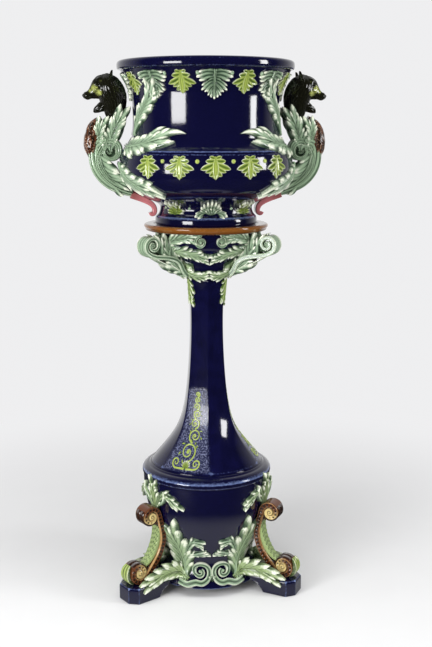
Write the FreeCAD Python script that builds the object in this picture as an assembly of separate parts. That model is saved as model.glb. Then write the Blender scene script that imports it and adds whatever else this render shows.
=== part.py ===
import FreeCAD, Part
import math
import os

# A two-piece majolica set: a bellied jardiniere with a bear-headed handle on each side, standing loose
# on a tall pedestal.  Every pressed or thrown part of the two fired pieces is a solid of its own.
#
# Frame: millimetres, +Z up, origin on the floor on the axis of the pedestal.  An azimuth is counted from
# the front (-Y) towards +X.  Parts that repeat round the axis are built at azimuth 90, where +X points
# away from the axis and +Y along the tangent, and are then turned into place.

V = FreeCAD.Vector
UP = V(0, 0, 1)
ORIGIN = V(0, 0, 0)

# ---- driving dimensions, mm and degrees -------------------------------------------------------------
# pedestal
FEET_AZIMUTHS = {"left": -60.0, "right": 60.0, "back": 180.0}
FACE_AZIMUTHS = {"front": 0.0, "rear_right": 120.0, "rear_left": 240.0}
BLOCK_HEIGHT = 36.0
BLOCK_OUTER_RADIUS = 226.0
BLOCK_INNER_RADIUS = 112.0
BLOCK_WIDTH = 72.0
BLOCK_CORNER = 17.0
BLOCK_TOP_BEVEL = 3.0

SKIRT_BOTTOM_Z = 22.0
SKIRT_RADIUS = 122.0
ARCH_RADIUS = 34.0
ARCH_OFFSET_AZIMUTH = 29.0
ARCH_CENTRE_Z = -6.0

DRUM_RADIUS = 146.0
DRUM_WAIST_RADIUS = 100.0
DRUM_WAIST_Z = 74.0
DRUM_RIM_Z = 272.0
DRUM_TOP_Z = 286.0
DRUM_WALL = 11.0
DRUM_MOUTH_RADIUS = 98.0

SHAFT_FOOT_RADIUS = 126.0
SHAFT_WAIST_RADIUS = 40.5
SHAFT_NECK_RADIUS = 47.0
SHAFT_TOP_Z = 704.0
SHAFT_WALL = 9.0

CAPITAL_TOP_Z = 811.0
CAPITAL_FACE_RADIUS = 106.0
CAPITAL_WALL = 11.0
CAPITAL_VOLUTE_RADIUS = 25.0
CAPITAL_VOLUTE_REACH = 148.0
CAPITAL_VOLUTE_WIDTH = 38.0
SMALL_SCROLL_RADIUS = 13.0
SMALL_SCROLL_OFFSET = 22.0

PLATE_RADIUS = 136.0
PLATE_TOP_Z = 826.0
PLATE_RECESS_DEPTH = 3.0

LEG_WIDTH = 38.0
LEG_THICKNESS = 13.0
LEG_VOLUTE_RADIUS = 27.0
LEG_UPPER_REACH = 162.0
LEG_UPPER_Z = 186.0
LEG_LOWER_REACH = 194.0
LEG_WAIST_RADIUS = 131.0
LEG_WAIST_Z = 132.0

FACE_SCROLL_RADIUS = 25.0
FACE_SCROLL_OFFSET = 27.0
FACE_SCROLL_Z = 64.0
FOOT_LEAF_TOP_Z = 66.0

# jardiniere
TOP_Z = 1170.0
RIM_RADIUS = 190.0
RIM_HEIGHT = 20.0
THROAT_RADIUS = 157.5
BELLY_RADIUS = 188.0
BELLY_Z = 953.0
RIDGE_Z = 983.0
POT_NECK_RADIUS = 100.0
POT_NECK_Z = 862.0
POT_FOOT_RADIUS = 111.0
POT_FOOT_HEIGHT = 18.0
POT_WALL = 9.5
FOOT_PLAY = 2.5
SEAT_GAP = 0.2
HANDLE_AZIMUTHS = {"right": 90.0, "left": 270.0}
HANDLE_WIDTH = 36.0

# applied relief
SPRIG_THICKNESS = 3.0
LEAF_THICKNESS = 5.0
PENDANT_SEAM = 0.3
RIB_EXTRA = 1.8
SPRIG_PITCH = 22.5
RELIEF_SECTOR = 124.0

# ---- small helpers ----------------------------------------------------------------------------------


def direction(azimuth):
    """Unit vector that points away from the axis at an azimuth."""
    a = math.radians(azimuth)
    return V(math.sin(a), -math.cos(a), 0)


def turned(shape, azimuth):
    """A copy of a shape built at azimuth 90, moved round the axis to another azimuth."""
    copy = shape.copy()
    copy.rotate(ORIGIN, UP, azimuth - 90.0)
    return copy


def mirrored(shape):
    """A shape built at azimuth 90, mirrored left to right."""
    return shape.mirror(ORIGIN, V(0, 1, 0))


def turned_all(shape, azimuths):
    """Copies of one shape at several azimuths, as one compound."""
    return Part.makeCompound([turned(shape, azimuth) for azimuth in azimuths])


def curve(points):
    """One smooth edge through points."""
    line = Part.BSplineCurve()
    line.interpolate(points)
    return line.toShape()


def line(a, b):
    return Part.LineSegment(a, b).toShape()


def arc(a, middle, b):
    return Part.Arc(a, middle, b).toShape()


def profile_point(radius, z):
    return V(radius, 0, z)


def profile_points(pairs):
    return [profile_point(radius, z) for radius, z in pairs]


def polyline(points):
    return [line(a, b) for a, b in zip(points, points[1:])]


def spun(edges):
    """A solid of revolution from a closed chain of edges in the XZ plane."""
    face = Part.Face(Part.Wire(Part.__sortEdges__(edges)))
    solid = face.revolve(ORIGIN, UP, 360.0)
    return Part.Solid(solid.Shells[0]) if solid.ShapeType != "Solid" else solid


def heading(angle):
    """Unit direction of a profile that runs down, leaning outwards by angle degrees."""
    a = math.radians(angle)
    return V(math.sin(a), 0, -math.cos(a))


def tangent_arc(a, tangent, b):
    """The arc from a to b that leaves a along tangent."""
    chord = b - a
    turn = math.atan2(tangent.z * chord.x - tangent.x * chord.z, tangent.dot(chord))
    if abs(turn) < 1e-5:
        return line(a, b)
    side = V(chord.z, 0, -chord.x)
    return arc(a, (a + b) * 0.5 - side * (0.5 * math.tan(turn / 2)), b)


def profile(stations, offset=0.0):
    """Tangent arcs, two between each pair of stations (radius, z, lean), moved outwards by offset."""
    edges = []
    placed = []
    for radius, z, lean in stations:
        way = heading(lean)
        placed.append((V(radius, 0, z) + V(-way.z, 0, way.x) * offset, way))
    for (a, way_a), (b, way_b) in zip(placed, placed[1:]):
        chord = b - a
        spread = 2.0 * (1.0 - way_a.dot(way_b))
        along_chord = chord.dot(way_a + way_b)
        if spread < 1e-6:
            reach = chord.dot(chord) / (2.0 * along_chord)
        else:
            reach = (math.sqrt(along_chord**2 + spread * chord.dot(chord)) - along_chord) / spread
        middle = (a + way_a * reach + b - way_b * reach) * 0.5
        edges.append(tangent_arc(a, way_a, middle))
        back = tangent_arc(b, way_b * -1.0, middle)
        edges.append(back)
    return edges, placed[0][0], placed[-1][0]


def relief_band(stations, thickness):
    """The skin that lies on a turned surface, between it and its own offset, round azimuth 90."""
    inner, inner_top, inner_low = profile(stations)
    outer, outer_top, outer_low = profile(stations, thickness)
    edges = inner + outer + [line(inner_top, outer_top), line(inner_low, outer_low)]
    face = Part.Face(Part.Wire(Part.__sortEdges__(edges)))
    face.rotate(ORIGIN, UP, -RELIEF_SECTOR / 2)
    return face.revolve(ORIGIN, UP, RELIEF_SECTOR)


def single(shape):
    """The solids of a boolean result, without the crumbs that a tangent cut can leave."""
    solids = sorted(shape.Solids, key=lambda s: s.Volume, reverse=True)
    kept = [s for s in solids if s.Volume > 0.02 * solids[0].Volume]
    return kept[0] if len(kept) == 1 else Part.makeCompound(kept)


def export(name, shape):
    shape.exportStep("parts/" + name + ".step")
    print(name, len(shape.Solids), "solids, valid:", shape.isValid())


# ---- leaf outlines ----------------------------------------------------------------------------------
# An outline lies in the YZ plane at azimuth 90: y along the tangent, z up.


def outline_face(points_and_mids):
    """A face bounded by arcs: (corner, bulge) pairs, clockwise; a positive bulge pushes its arc outwards."""
    count = len(points_and_mids)
    edges = []
    for i, (start, bulge) in enumerate(points_and_mids):
        end = points_and_mids[(i + 1) % count][0]
        across_y = start[1] - end[1]
        across_z = end[0] - start[0]
        middle = (
            (start[0] + end[0]) / 2 + bulge * across_y,
            (start[1] + end[1]) / 2 + bulge * across_z,
        )
        a, b = V(0, start[0], start[1]), V(0, end[0], end[1])
        if abs(bulge) < 1e-6:
            edges.append(line(a, b))
        else:
            edges.append(arc(a, V(0, middle[0], middle[1]), b))
    return Part.Face(Part.Wire(edges))


def mirrored_outline(right_half):
    """A symmetric outline from its right half, listed from the top centre down to the bottom centre."""
    top, bottom = right_half[0], right_half[-1]
    left = []
    for i in range(len(right_half) - 1, 0, -1):
        (y, z), bulge = right_half[i][0], right_half[i - 1][1]
        left.append(((-y, z), bulge))
    assert top[0][0] == 0 and bottom[0][0] == 0
    return [right_half[i] for i in range(len(right_half) - 1)] + left


def sprig_outline(width, height, top_z, lobes):
    """A hanging lobed leaf: lobes lists (share of half width, share of height, bulge of the edge that
    follows), from beside the stalk down to beside the point."""
    half = [((0.0, top_z), 0.0)]
    for across, down, bulge in lobes:
        half.append(((across * width / 2, top_z - down * height), bulge))
    half.append(((0.0, top_z - height), 0.0))
    return outline_face(mirrored_outline(half))


def along(spine, share):
    """Point and left-hand normal on the Bezier curve with the spine's control points."""
    level = list(spine)
    while len(level) > 2:
        level = [
            (a[0] + (b[0] - a[0]) * share, a[1] + (b[1] - a[1]) * share) for a, b in zip(level, level[1:])
        ]
    (y0, z0), (y1, z1) = level
    length = math.hypot(y1 - y0, z1 - z0)
    return y0 + (y1 - y0) * share, z0 + (z1 - z0) * share, (z0 - z1) / length, (y1 - y0) / length


def acanthus_outline(spine, half_width, lobes, depth=0.45):
    """A curved leaf: rounded lobes with points that lean towards the tip, narrow at the root and tip."""
    sides = []
    for side in (1.0, -1.0):
        corners = []
        for k in range(lobes):
            for share, cut, bulge in ((k + 0.72, 1.0, -0.12), (k + 1.0, 1.0 - depth, 0.2)):
                share = share / (lobes + 0.6)
                swell = half_width * (0.35 + 0.65 * math.sin(math.pi * (0.12 + 0.8 * share)))
                y, z, normal_y, normal_z = along(spine, share)
                reach = side * swell * cut
                corners.append(((y + normal_y * reach, z + normal_z * reach), bulge))
        sides.append(corners)
    left, right = sides
    start, tip = along(spine, 0.0), along(spine, 1.0)
    chain = [((start[0], start[1]), 0.15)]
    chain += left
    chain.append(((tip[0], tip[1]), left[-1][1]))
    bulges = [bulge for corner, bulge in reversed(right)][1:] + [0.15]
    chain += [(corner, bulge) for (corner, old), bulge in zip(reversed(right), bulges)]
    return outline_face(chain)


def pressed(face, band, reach=400.0):
    """The part of a relief band that lies behind an outline, seen along the radius at azimuth 90."""
    return single(band.common(face.extrude(V(reach, 0, 0))))


# ---- scrolls ----------------------------------------------------------------------------------------


def spiral_points(centre, start_angle, sweep, start_radius, end_radius, count):
    """Points on a spiral in the XZ plane whose radius falls evenly with its angle."""
    points = []
    for i in range(count + 1):
        share = i / count
        angle = math.radians(start_angle + sweep * share)
        radius = start_radius + (end_radius - start_radius) * share
        points.append((centre[0] + radius * math.cos(angle), centre[1] + radius * math.sin(angle)))
    return points


def strap_face(path, thickness_at):
    """A strap in the XZ plane along a path; thickness_at gives its thickness at each share of its length."""
    last = len(path) - 1
    runs = [math.dist(a, b) for a, b in zip(path, path[1:])]
    total = sum(runs)
    one, other = [], []
    for i, (x, z) in enumerate(path):
        before, after = path[max(i - 1, 0)], path[min(i + 1, last)]
        dx, dz = after[0] - before[0], after[1] - before[1]
        length = math.hypot(dx, dz)
        half = thickness_at(sum(runs[:i]) / total) / 2
        one.append(V(x - dz / length * half, 0, z + dx / length * half))
        other.append(V(x + dz / length * half, 0, z - dx / length * half))
    edges = [curve(one), line(one[-1], other[-1]), curve(list(reversed(other))), line(other[0], one[0])]
    return Part.Face(Part.Wire(edges))


def widened(face, width):
    """A face in the XZ plane given a width, centred on that plane."""
    solid = face.extrude(V(0, width, 0))
    solid.translate(V(0, -width / 2, 0))
    return solid


def hub(centre, radius, width):
    """The solid core between a scroll's turns."""
    return Part.makeCylinder(radius, width, V(centre[0], -width / 2, centre[1]), V(0, 1, 0))


def body_loft(sections):
    """A smooth rounded body through elliptical sections: (centre, heading, half thickness, half width)."""
    wires = [closed_section(*section) for section in sections]
    return Part.makeLoft(wires, True, False)


def closed_section(centre, angle, half_thick, half_wide, count=12):
    """The same elliptical section as one closed curve that starts at the same place on every section."""
    a = math.radians(angle)
    across = V(-math.sin(a), 0, math.cos(a))
    middle = V(centre[0], 0, centre[1])
    points = []
    for i in range(count):
        turn = 2 * math.pi * i / count
        points.append(middle + across * (half_thick * math.cos(turn)) + V(0, half_wide * math.sin(turn), 0))
    ring = Part.BSplineCurve()
    ring.interpolate(Points=points, PeriodicFlag=True)
    return Part.Wire([ring.toShape()])


# ---- jardiniere: bowl -------------------------------------------------------------------------------

POT_BOTTOM_Z = PLATE_TOP_Z - PLATE_RECESS_DEPTH + SEAT_GAP
POT_FOOT_TOP_Z = POT_BOTTOM_Z + POT_FOOT_HEIGHT + 5.0
RIM_BOTTOM_Z = TOP_Z - RIM_HEIGHT

# outer profiles, from the top down: (radius, z, outward lean of the surface as it runs down)
WALL_PROFILE = [
    (THROAT_RADIUS + 22.5, RIM_BOTTOM_Z - 4.0, -18.0),
    (THROAT_RADIUS + 7.5, RIM_BOTTOM_Z - 32.0, -24.0),
    (THROAT_RADIUS, RIM_BOTTOM_Z - 80.0, -2.0),
    (THROAT_RADIUS + 2.5, RIM_BOTTOM_Z - 138.0, 9.0),
    (THROAT_RADIUS + 20.5, RIDGE_Z + 2.0, 52.0),
]
BELLY_PROFILE = [
    (BELLY_RADIUS - 4.0, RIDGE_Z - 7.0, 20.0),
    (BELLY_RADIUS, BELLY_Z - 5.0, 0.0),
    (BELLY_RADIUS - 16.0, BELLY_Z - 48.0, -42.0),
    (POT_NECK_RADIUS + 26.0, POT_NECK_Z + 17.5, -66.0),
    (POT_NECK_RADIUS, POT_NECK_Z, 0.0),
    (POT_NECK_RADIUS + 3.5, POT_FOOT_TOP_Z + 1.5, 24.0),
]


def make_bowl():
    """One shell: rolled rim, cove wall, stepped ridge, belly, necked stem and turned foot ring."""
    wall, wall_top, wall_low = profile(WALL_PROFILE)
    belly, belly_top, belly_low = profile(BELLY_PROFILE)
    inner_wall, inner_wall_top, inner_wall_low = profile(WALL_PROFILE, -POT_WALL)
    inner_belly, inner_belly_top, inner_belly_low = profile(BELLY_PROFILE[1:5], -POT_WALL)
    rim_inner = profile_point(RIM_RADIUS - 16.0, TOP_Z - 7.0)
    rim_crest = profile_point(RIM_RADIUS - 8.0, TOP_Z)
    rim_outer = profile_point(RIM_RADIUS, TOP_Z - 8.0)
    rim_side = profile_point(RIM_RADIUS, TOP_Z - 14.0)
    rim_low = profile_point(RIM_RADIUS - 4.0, RIM_BOTTOM_Z)
    rim_back = profile_point(RIM_RADIUS - 8.0, RIM_BOTTOM_Z + 1.0)
    ridge_top = profile_point(THROAT_RADIUS + 23.5, RIDGE_Z + 1.0)
    ridge_low = profile_point(THROAT_RADIUS + 23.5, RIDGE_Z - 4.0)
    foot_top = profile_point(POT_FOOT_RADIUS - 3.0, POT_FOOT_TOP_Z - 3.0)
    foot_side = profile_point(POT_FOOT_RADIUS, POT_BOTTOM_Z + POT_FOOT_HEIGHT / 2 + 2.0)
    foot_low = profile_point(POT_FOOT_RADIUS - 2.0, POT_BOTTOM_Z)
    floor_z = POT_FOOT_TOP_Z + 8.0
    hollow = POT_NECK_RADIUS - POT_WALL
    foot_inner = profile_point(hollow, POT_BOTTOM_Z)
    roof_outer = profile_point(hollow - 3.0, floor_z - POT_WALL)
    floor_outer = profile_point(hollow - 4.0, floor_z)
    edges = [
        arc(rim_inner, profile_point(RIM_RADIUS - 13.6, TOP_Z - 2.2), rim_crest),
        arc(rim_crest, profile_point(RIM_RADIUS - 2.2, TOP_Z - 2.4), rim_outer),
        line(rim_outer, rim_side),
        arc(rim_side, profile_point(RIM_RADIUS - 1.2, RIM_BOTTOM_Z + 1.4), rim_low),
        line(rim_low, rim_back),
        line(rim_back, wall_top),
        line(wall_low, ridge_top),
        line(ridge_top, ridge_low),
        line(ridge_low, belly_top),
        line(belly_low, foot_top),
        arc(foot_top, foot_side, foot_low),
        line(foot_low, foot_inner),
        line(foot_inner, roof_outer),
        line(roof_outer, profile_point(0, floor_z - POT_WALL)),
        line(profile_point(0, floor_z - POT_WALL), profile_point(0, floor_z)),
        line(profile_point(0, floor_z), floor_outer),
        line(floor_outer, inner_belly_low),
        line(inner_belly_top, inner_wall_low),
        line(inner_wall_top, rim_inner),
    ]
    return spun(edges + wall + belly + inner_wall + inner_belly)


# ---- jardiniere: sprigs -----------------------------------------------------------------------------

LARGE_LOBES = [
    (0.72, 0.0, -0.1),
    (0.66, 0.13, 0.0),
    (1.0, 0.26, -0.1),
    (0.58, 0.42, 0.12),
    (0.68, 0.7, -0.1),
    (0.28, 0.74, 0.2),
]
SMALL_LOBES = [
    (0.24, 0.02, 0.1),
    (0.56, 0.22, -0.1),
    (0.42, 0.42, 0.05),
    (1.0, 0.64, -0.08),
    (0.26, 0.7, 0.15),
    (0.34, 0.88, 0.0),
]
FAN_LOBES = [
    (0.36, 0.05, -0.1),
    (0.5, 0.18, 0.05),
    (1.0, 0.12, -0.1),
    (0.62, 0.45, 0.1),
    (0.72, 0.8, -0.05),
    (0.42, 0.96, 0.0),
]


def make_sprigs():
    """The pressed leaves and beads of the three rows, each on the surface that carries it."""
    wall_band = relief_band(WALL_PROFILE, SPRIG_THICKNESS)
    belly_band = relief_band(BELLY_PROFILE, SPRIG_THICKNESS)
    wall_rib = relief_band(WALL_PROFILE, SPRIG_THICKNESS + RIB_EXTRA)
    belly_rib = relief_band(BELLY_PROFILE, SPRIG_THICKNESS + RIB_EXTRA)
    pot_back = RIM_BOTTOM_Z - 6.0

    def sprig(width, height, top_z, lobes, band, rib_band):
        leaf = pressed(sprig_outline(width, height, top_z, lobes), band)
        rib_half = width * 0.05
        rib = outline_face(
            [
                ((-rib_half, top_z - 0.06 * height), 0.0),
                ((rib_half, top_z - 0.06 * height), 0.0),
                ((0.0, top_z - 0.92 * height), 0.0),
            ]
        )
        return leaf.fuse(pressed(rib, rib_band)).removeSplitter()

    def bead(diameter, z, band):
        disc = Part.Face(Part.Wire([Part.Circle(V(0, 0, z), V(1, 0, 0), diameter / 2).toShape()]))
        return pressed(disc, band)

    whole = [i * 2 * SPRIG_PITCH for i in range(8)]
    half = [SPRIG_PITCH + a for a in whole]
    between = [SPRIG_PITCH / 2 + i * SPRIG_PITCH for i in range(16)]
    row = [side + i * SPRIG_PITCH for side in (0.0, 180.0) for i in (-2, -1, 0, 1, 2)]
    row_gaps = [side + (i + 0.5) * SPRIG_PITCH for side in (0.0, 180.0) for i in (-2, -1, 0, 1)]
    belly_top = RIDGE_Z - 9.0
    large = sprig(74.0, 58.0, pot_back, LARGE_LOBES, wall_band, wall_rib)
    export("rim_leaves_large", turned_all(large, whole))
    small = sprig(56.0, 45.0, pot_back - 1.0, SMALL_LOBES, wall_band, wall_rib)
    export("rim_leaves_small", turned_all(small, half))
    export("rim_beads", turned_all(bead(8.0, pot_back - 7.0, wall_band), between))
    ivy = sprig(60.0, 46.0, belly_top, SMALL_LOBES, belly_band, belly_rib)
    export("belly_leaves", turned_all(ivy, row))
    export("belly_beads", turned_all(bead(9.0, belly_top - 10.0, belly_band), row_gaps))
    stem_top = POT_NECK_Z + 19.0
    fan = sprig(62.0, 30.0, stem_top, FAN_LOBES, belly_band, belly_rib)
    export("stem_leaves_large", turned_all(fan, [0.0, 180.0]))
    palmette = sprig(36.0, 30.0, stem_top, SMALL_LOBES, belly_band, belly_rib)
    export("stem_leaves_small", turned_all(palmette, [-45.0, 45.0, 135.0, 225.0]))
    stem_bead = bead(6.0, POT_NECK_Z + 1.0, belly_band)
    stem_spots = [side + a for side in (0.0, 180.0) for a in (-64.0, -26.0, 26.0, 64.0)]
    export("stem_beads", turned_all(stem_bead, stem_spots))
    return large, ivy


# ---- jardiniere: handles ----------------------------------------------------------------------------
# The side view of a handle in (radius, z).

HANDLE_VOLUTE = (205.5, 982.0)
HANDLE_VOLUTE_RADIUS = 24.0
HANDLE_SWEEP = [(232.0, 997.0), (239.0, 971.0), (233.0, 944.0), (217.0, 921.0), (192.0, 904.0), (160.0, 892.0)]
HANDLE_BAND = 22.0
COLLAR_SECTIONS = [
    ((204.0, 1002.0), 92.0, 17.0, 15.0),
    ((203.0, 1017.0), 97.0, 23.0, 20.0),
    ((198.0, 1036.0), 104.0, 21.0, 22.0),
]
CHEST_SECTIONS = [
    ((223.0, 1050.0), -32.0, 5.0, 8.0),
    ((235.0, 1036.0), -50.0, 13.0, 17.0),
    ((244.0, 1010.0), -82.0, 16.5, 21.0),
    ((245.5, 985.0), -95.0, 14.5, 20.0),
    ((244.0, 966.0), -99.0, 8.0, 14.0),
]
NECK_SECTIONS = [
    ((192.0, 1028.0), 86.0, 12.0, 13.0),
    ((194.5, 1052.0), 88.0, 17.5, 18.0),
    ((195.5, 1072.0), 86.0, 24.0, 23.0),
    ((199.0, 1096.0), 80.0, 29.0, 28.0),
    ((208.0, 1118.0), 75.0, 28.0, 29.0),
    ((213.0, 1134.0), 75.0, 17.0, 20.0),
    ((215.0, 1142.0), 75.0, 6.0, 8.0),
]
MUZZLE_SECTIONS = [
    ((208.0, 1114.0), -10.0, 27.0, 26.0),
    ((227.0, 1112.5), -15.0, 25.0, 23.0),
    ((240.0, 1106.0), -20.0, 18.5, 17.0),
    ((250.0, 1098.5), -22.0, 11.0, 12.0),
    ((258.0, 1095.0), -22.0, 7.0, 9.5),
    ((261.0, 1094.0), -22.0, 2.5, 4.0),
]
JAW_SECTIONS = [
    ((208.0, 1084.0), -35.0, 12.0, 16.0),
    ((222.0, 1076.5), -37.0, 8.5, 11.0),
    ((232.0, 1069.5), -40.0, 6.0, 8.0),
    ((238.0, 1064.5), -40.0, 2.5, 4.0),
]
EAR_CENTRE = (205.0, 1132.0)
EAR_SPREAD = 17.0
EAR_HEIGHT = 17.0
EAR_RADIUS = 10.0


def make_handle_pieces(bowl):
    """The bear's head and neck, the chest, the leaf collar and the big C-scroll that carries them."""
    turn_points = spiral_points(HANDLE_VOLUTE, 60.0, 440.0, HANDLE_VOLUTE_RADIUS, 7.0, 11)
    path = list(reversed(turn_points)) + HANDLE_SWEEP

    def thickness(share):
        return 6.0 + (HANDLE_BAND - 6.0) * math.sin(math.pi * min(1.0, max(0.0, share - 0.2))) ** 1.2

    scroll = widened(strap_face(path, thickness), HANDLE_WIDTH)
    scroll = scroll.fuse(hub(HANDLE_VOLUTE, HANDLE_VOLUTE_RADIUS - 1.0, HANDLE_WIDTH - 8.0))
    scroll = single(scroll.cut(bowl))
    head = body_loft(NECK_SECTIONS).fuse(body_loft(MUZZLE_SECTIONS)).fuse(body_loft(JAW_SECTIONS))
    for side in (1.0, -1.0):
        foot = V(EAR_CENTRE[0], side * EAR_SPREAD, EAR_CENTRE[1])
        head = head.fuse(Part.makeCone(EAR_RADIUS, 4.0, EAR_HEIGHT, foot, V(-0.1, side * 0.25, 1)))
    chest = body_loft(CHEST_SECTIONS)
    collar = body_loft(COLLAR_SECTIONS)
    collar = single(collar.cut(scroll).cut(bowl))
    chest = single(chest.cut(scroll).cut(collar).cut(head))
    head = single(head.cut(collar))
    return {"handle_scroll": scroll, "bear_head": head, "bear_chest": chest, "handle_collar": collar}


HANDLE_LEAVES = {
    # control points of the leaf's spine, half width, lobes, profile, azimuth from the handle
    "middle": ([(84.0, 1006.0), (0.0, 992.0), (-88.0, 1018.0)], 19.0, 6, WALL_PROFILE, -38.0),
    "upper": ([(56.0, 1030.0), (44.0, 1072.0), (-12.0, 1052.0), (-6.0, 1108.0)], 13.0, 5, WALL_PROFILE, -38.0),
    "lower": ([(70.0, 962.0), (40.0, 922.0), (-34.0, 907.0)], 19.0, 5, BELLY_PROFILE, -34.0),
}
SPRIG_BY_HANDLE = -2 * SPRIG_PITCH


def make_handle_leaves(carriers, sprigs):
    """The acanthus leaves on one side of a handle, clear of the handle's pieces and of the pressed leaves."""
    made = {}
    for name, (spine, half_width, lobes, stations, offset) in HANDLE_LEAVES.items():
        leaf = pressed(acanthus_outline(spine, half_width, lobes), relief_band(stations, LEAF_THICKNESS))
        near = [turned(sprig, 90.0 + SPRIG_BY_HANDLE - offset) for sprig in sprigs]
        near += [turned(carrier, 90.0 - offset) for carrier in carriers]
        near += [turned(other, 90.0 + other_offset - offset) for other, other_offset in made.values()]
        made[name] = (single(leaf.cut(near)), offset)
    return made


def make_foot_bracket(bowl, scroll):
    """The small strap that runs from under the belly down to the foot ring, with a curl at its toe."""
    toe = POT_FOOT_RADIUS + 9.0
    path = [(150.0, 884.0), (128.0, 874.0), (112.0, 862.0), (111.5, 852.0), (toe, 846.0), (toe + 6.0, 850.0)]
    strap = widened(strap_face(path, lambda share: 10.0 - 3.0 * share), 26.0)
    return single(strap.cut([bowl, scroll]))


# ---- pedestal: drum, skirt and shaft ----------------------------------------------------------------

DRUM_PROFILE = [
    (DRUM_RADIUS - 2.5, DRUM_RIM_Z - 14.0, 0.0),
    (DRUM_RADIUS - 10.0, DRUM_RIM_Z - 80.0, -12.0),
    (DRUM_WAIST_RADIUS + 7.0, DRUM_WAIST_Z + 28.0, -18.0),
    (DRUM_WAIST_RADIUS, DRUM_WAIST_Z, 0.0),
    (SKIRT_RADIUS - 8.0, SKIRT_BOTTOM_Z + 16.0, 30.0),
    (SKIRT_RADIUS, SKIRT_BOTTOM_Z, 23.0),
]


def make_drum():
    """The drum: a stepped top ring, a tapering wall and a flared skirt with an arch on each side of a leg."""
    outer, outer_top, outer_low = profile(DRUM_PROFILE)
    inner, inner_top, inner_low = profile(DRUM_PROFILE, -DRUM_WALL)
    top = [
        profile_point(DRUM_MOUTH_RADIUS, DRUM_TOP_Z),
        profile_point(SHAFT_FOOT_RADIUS + 2.0, DRUM_TOP_Z),
        profile_point(SHAFT_FOOT_RADIUS + 4.0, DRUM_TOP_Z - 5.0),
        profile_point(SHAFT_FOOT_RADIUS + 8.0, DRUM_TOP_Z - 4.0),
        profile_point(DRUM_RADIUS - 3.0, DRUM_RIM_Z + 3.0),
        profile_point(DRUM_RADIUS, DRUM_RIM_Z - 1.0),
        profile_point(DRUM_RADIUS, DRUM_RIM_Z - 9.0),
        profile_point(DRUM_RADIUS - 2.5, DRUM_RIM_Z - 11.0),
        outer_top,
    ]
    mouth_low = profile_point(DRUM_MOUTH_RADIUS, DRUM_TOP_Z - DRUM_WALL)
    closing = [line(outer_low, inner_low), line(inner_top, mouth_low), line(mouth_low, top[0])]
    drum = spun(polyline(top) + outer + inner + closing)
    top_point = profile_point(0, DRUM_TOP_Z)
    low_point = profile_point(0, SKIRT_BOTTOM_Z)
    closing = [line(top_point, top[0]), line(outer_low, low_point), line(low_point, top_point)]
    filled = spun(polyline(top) + outer + closing)
    arch_reach = 2 * BLOCK_OUTER_RADIUS
    for azimuth in FACE_AZIMUTHS.values():
        for side in (1.0, -1.0):
            way = direction(azimuth + side * ARCH_OFFSET_AZIMUTH)
            drum = drum.cut(Part.makeCylinder(ARCH_RADIUS, arch_reach, V(0, 0, ARCH_CENTRE_Z), way))
    return single(drum), filled


SHAFT_STATIONS = [
    # share of the way from waist radius to foot radius, z, roundness of the six sides
    (1.0, DRUM_TOP_Z, 1.0),
    (0.735, DRUM_TOP_Z + 29.0, 0.9),
    (0.375, DRUM_TOP_Z + 75.0, 0.5),
    (0.145, DRUM_TOP_Z + 144.0, 0.2),
    (0.04, DRUM_TOP_Z + 230.0, 0.1),
    (0.0, DRUM_TOP_Z + 330.0, 0.1),
]


def six_sided(radius, z, roundness):
    """A six-sided closed section with a corner over every foot and face; its sides bulge to a circle at 1."""
    apothem = radius * math.cos(math.radians(30.0))
    middle = apothem + (radius - apothem) * roundness
    edges = []
    for k in range(6):
        a = direction(60.0 * k) * radius + V(0, 0, z)
        b = direction(60.0 * (k + 1)) * radius + V(0, 0, z)
        m = direction(60.0 * k + 30.0) * middle + V(0, 0, z)
        edges.append(arc(a, m, b))
    return Part.Wire(edges)


def shaft_radius(share):
    return SHAFT_WAIST_RADIUS + (SHAFT_FOOT_RADIUS - SHAFT_WAIST_RADIUS) * share


def shaft_stations():
    """The shaft's sections from its foot to its neck: (corner radius, z, roundness)."""
    stations = [(shaft_radius(share), z, roundness) for share, z, roundness in SHAFT_STATIONS]
    swell = SHAFT_NECK_RADIUS - SHAFT_WAIST_RADIUS
    stations.append((SHAFT_WAIST_RADIUS + 0.35 * swell, SHAFT_TOP_Z - 34.0, 0.12))
    stations.append((SHAFT_NECK_RADIUS, SHAFT_TOP_Z, 0.3))
    return stations


def make_shaft():
    """The tall six-sided shaft, flaring to a round foot; hollow, with a wall that thins up the flare."""
    stations = shaft_stations()
    outside = Part.makeLoft([six_sided(*station) for station in stations], True, False)
    bore_pairs = [(DRUM_MOUTH_RADIUS + 2.0, DRUM_TOP_Z)]
    for (radius, z, roundness), (next_radius, next_z, _) in zip(stations[1:], stations[2:] + stations[-1:]):
        middle = radius * (math.cos(math.radians(30.0)) * (1.0 - roundness) + roundness)
        rise = max(next_z - z, 1.0)
        slant = math.hypot(1.0, (radius - next_radius) / rise)
        bore_pairs.append((middle - SHAFT_WALL * slant, z))
    points = profile_points(bore_pairs)
    top_point, low_point = profile_point(0, SHAFT_TOP_Z), profile_point(0, DRUM_TOP_Z)
    bore = spun(polyline(points + [top_point, low_point, points[0]]))
    return single(outside.cut(bore))


def make_pendant():
    """A narrow leaf that hangs from the capital down a corner of the shaft, luted on with a thin seam."""
    stations = shaft_stations()
    skin, seat = (
        turned(Part.makeLoft([six_sided(r + grown, z, roundness) for r, z, roundness in stations], True, False), 120.0)
        for grown in (LEAF_THICKNESS, PENDANT_SEAM)
    )
    top = SHAFT_TOP_Z
    outline = acanthus_outline([(0.0, top - 1.0), (0.0, top - 26.0), (0.0, top - 54.0)], 12.0, 3)
    return single(pressed(outline, skin).cut(seat))


# ---- pedestal: capital and top plate ----------------------------------------------------------------

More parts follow.
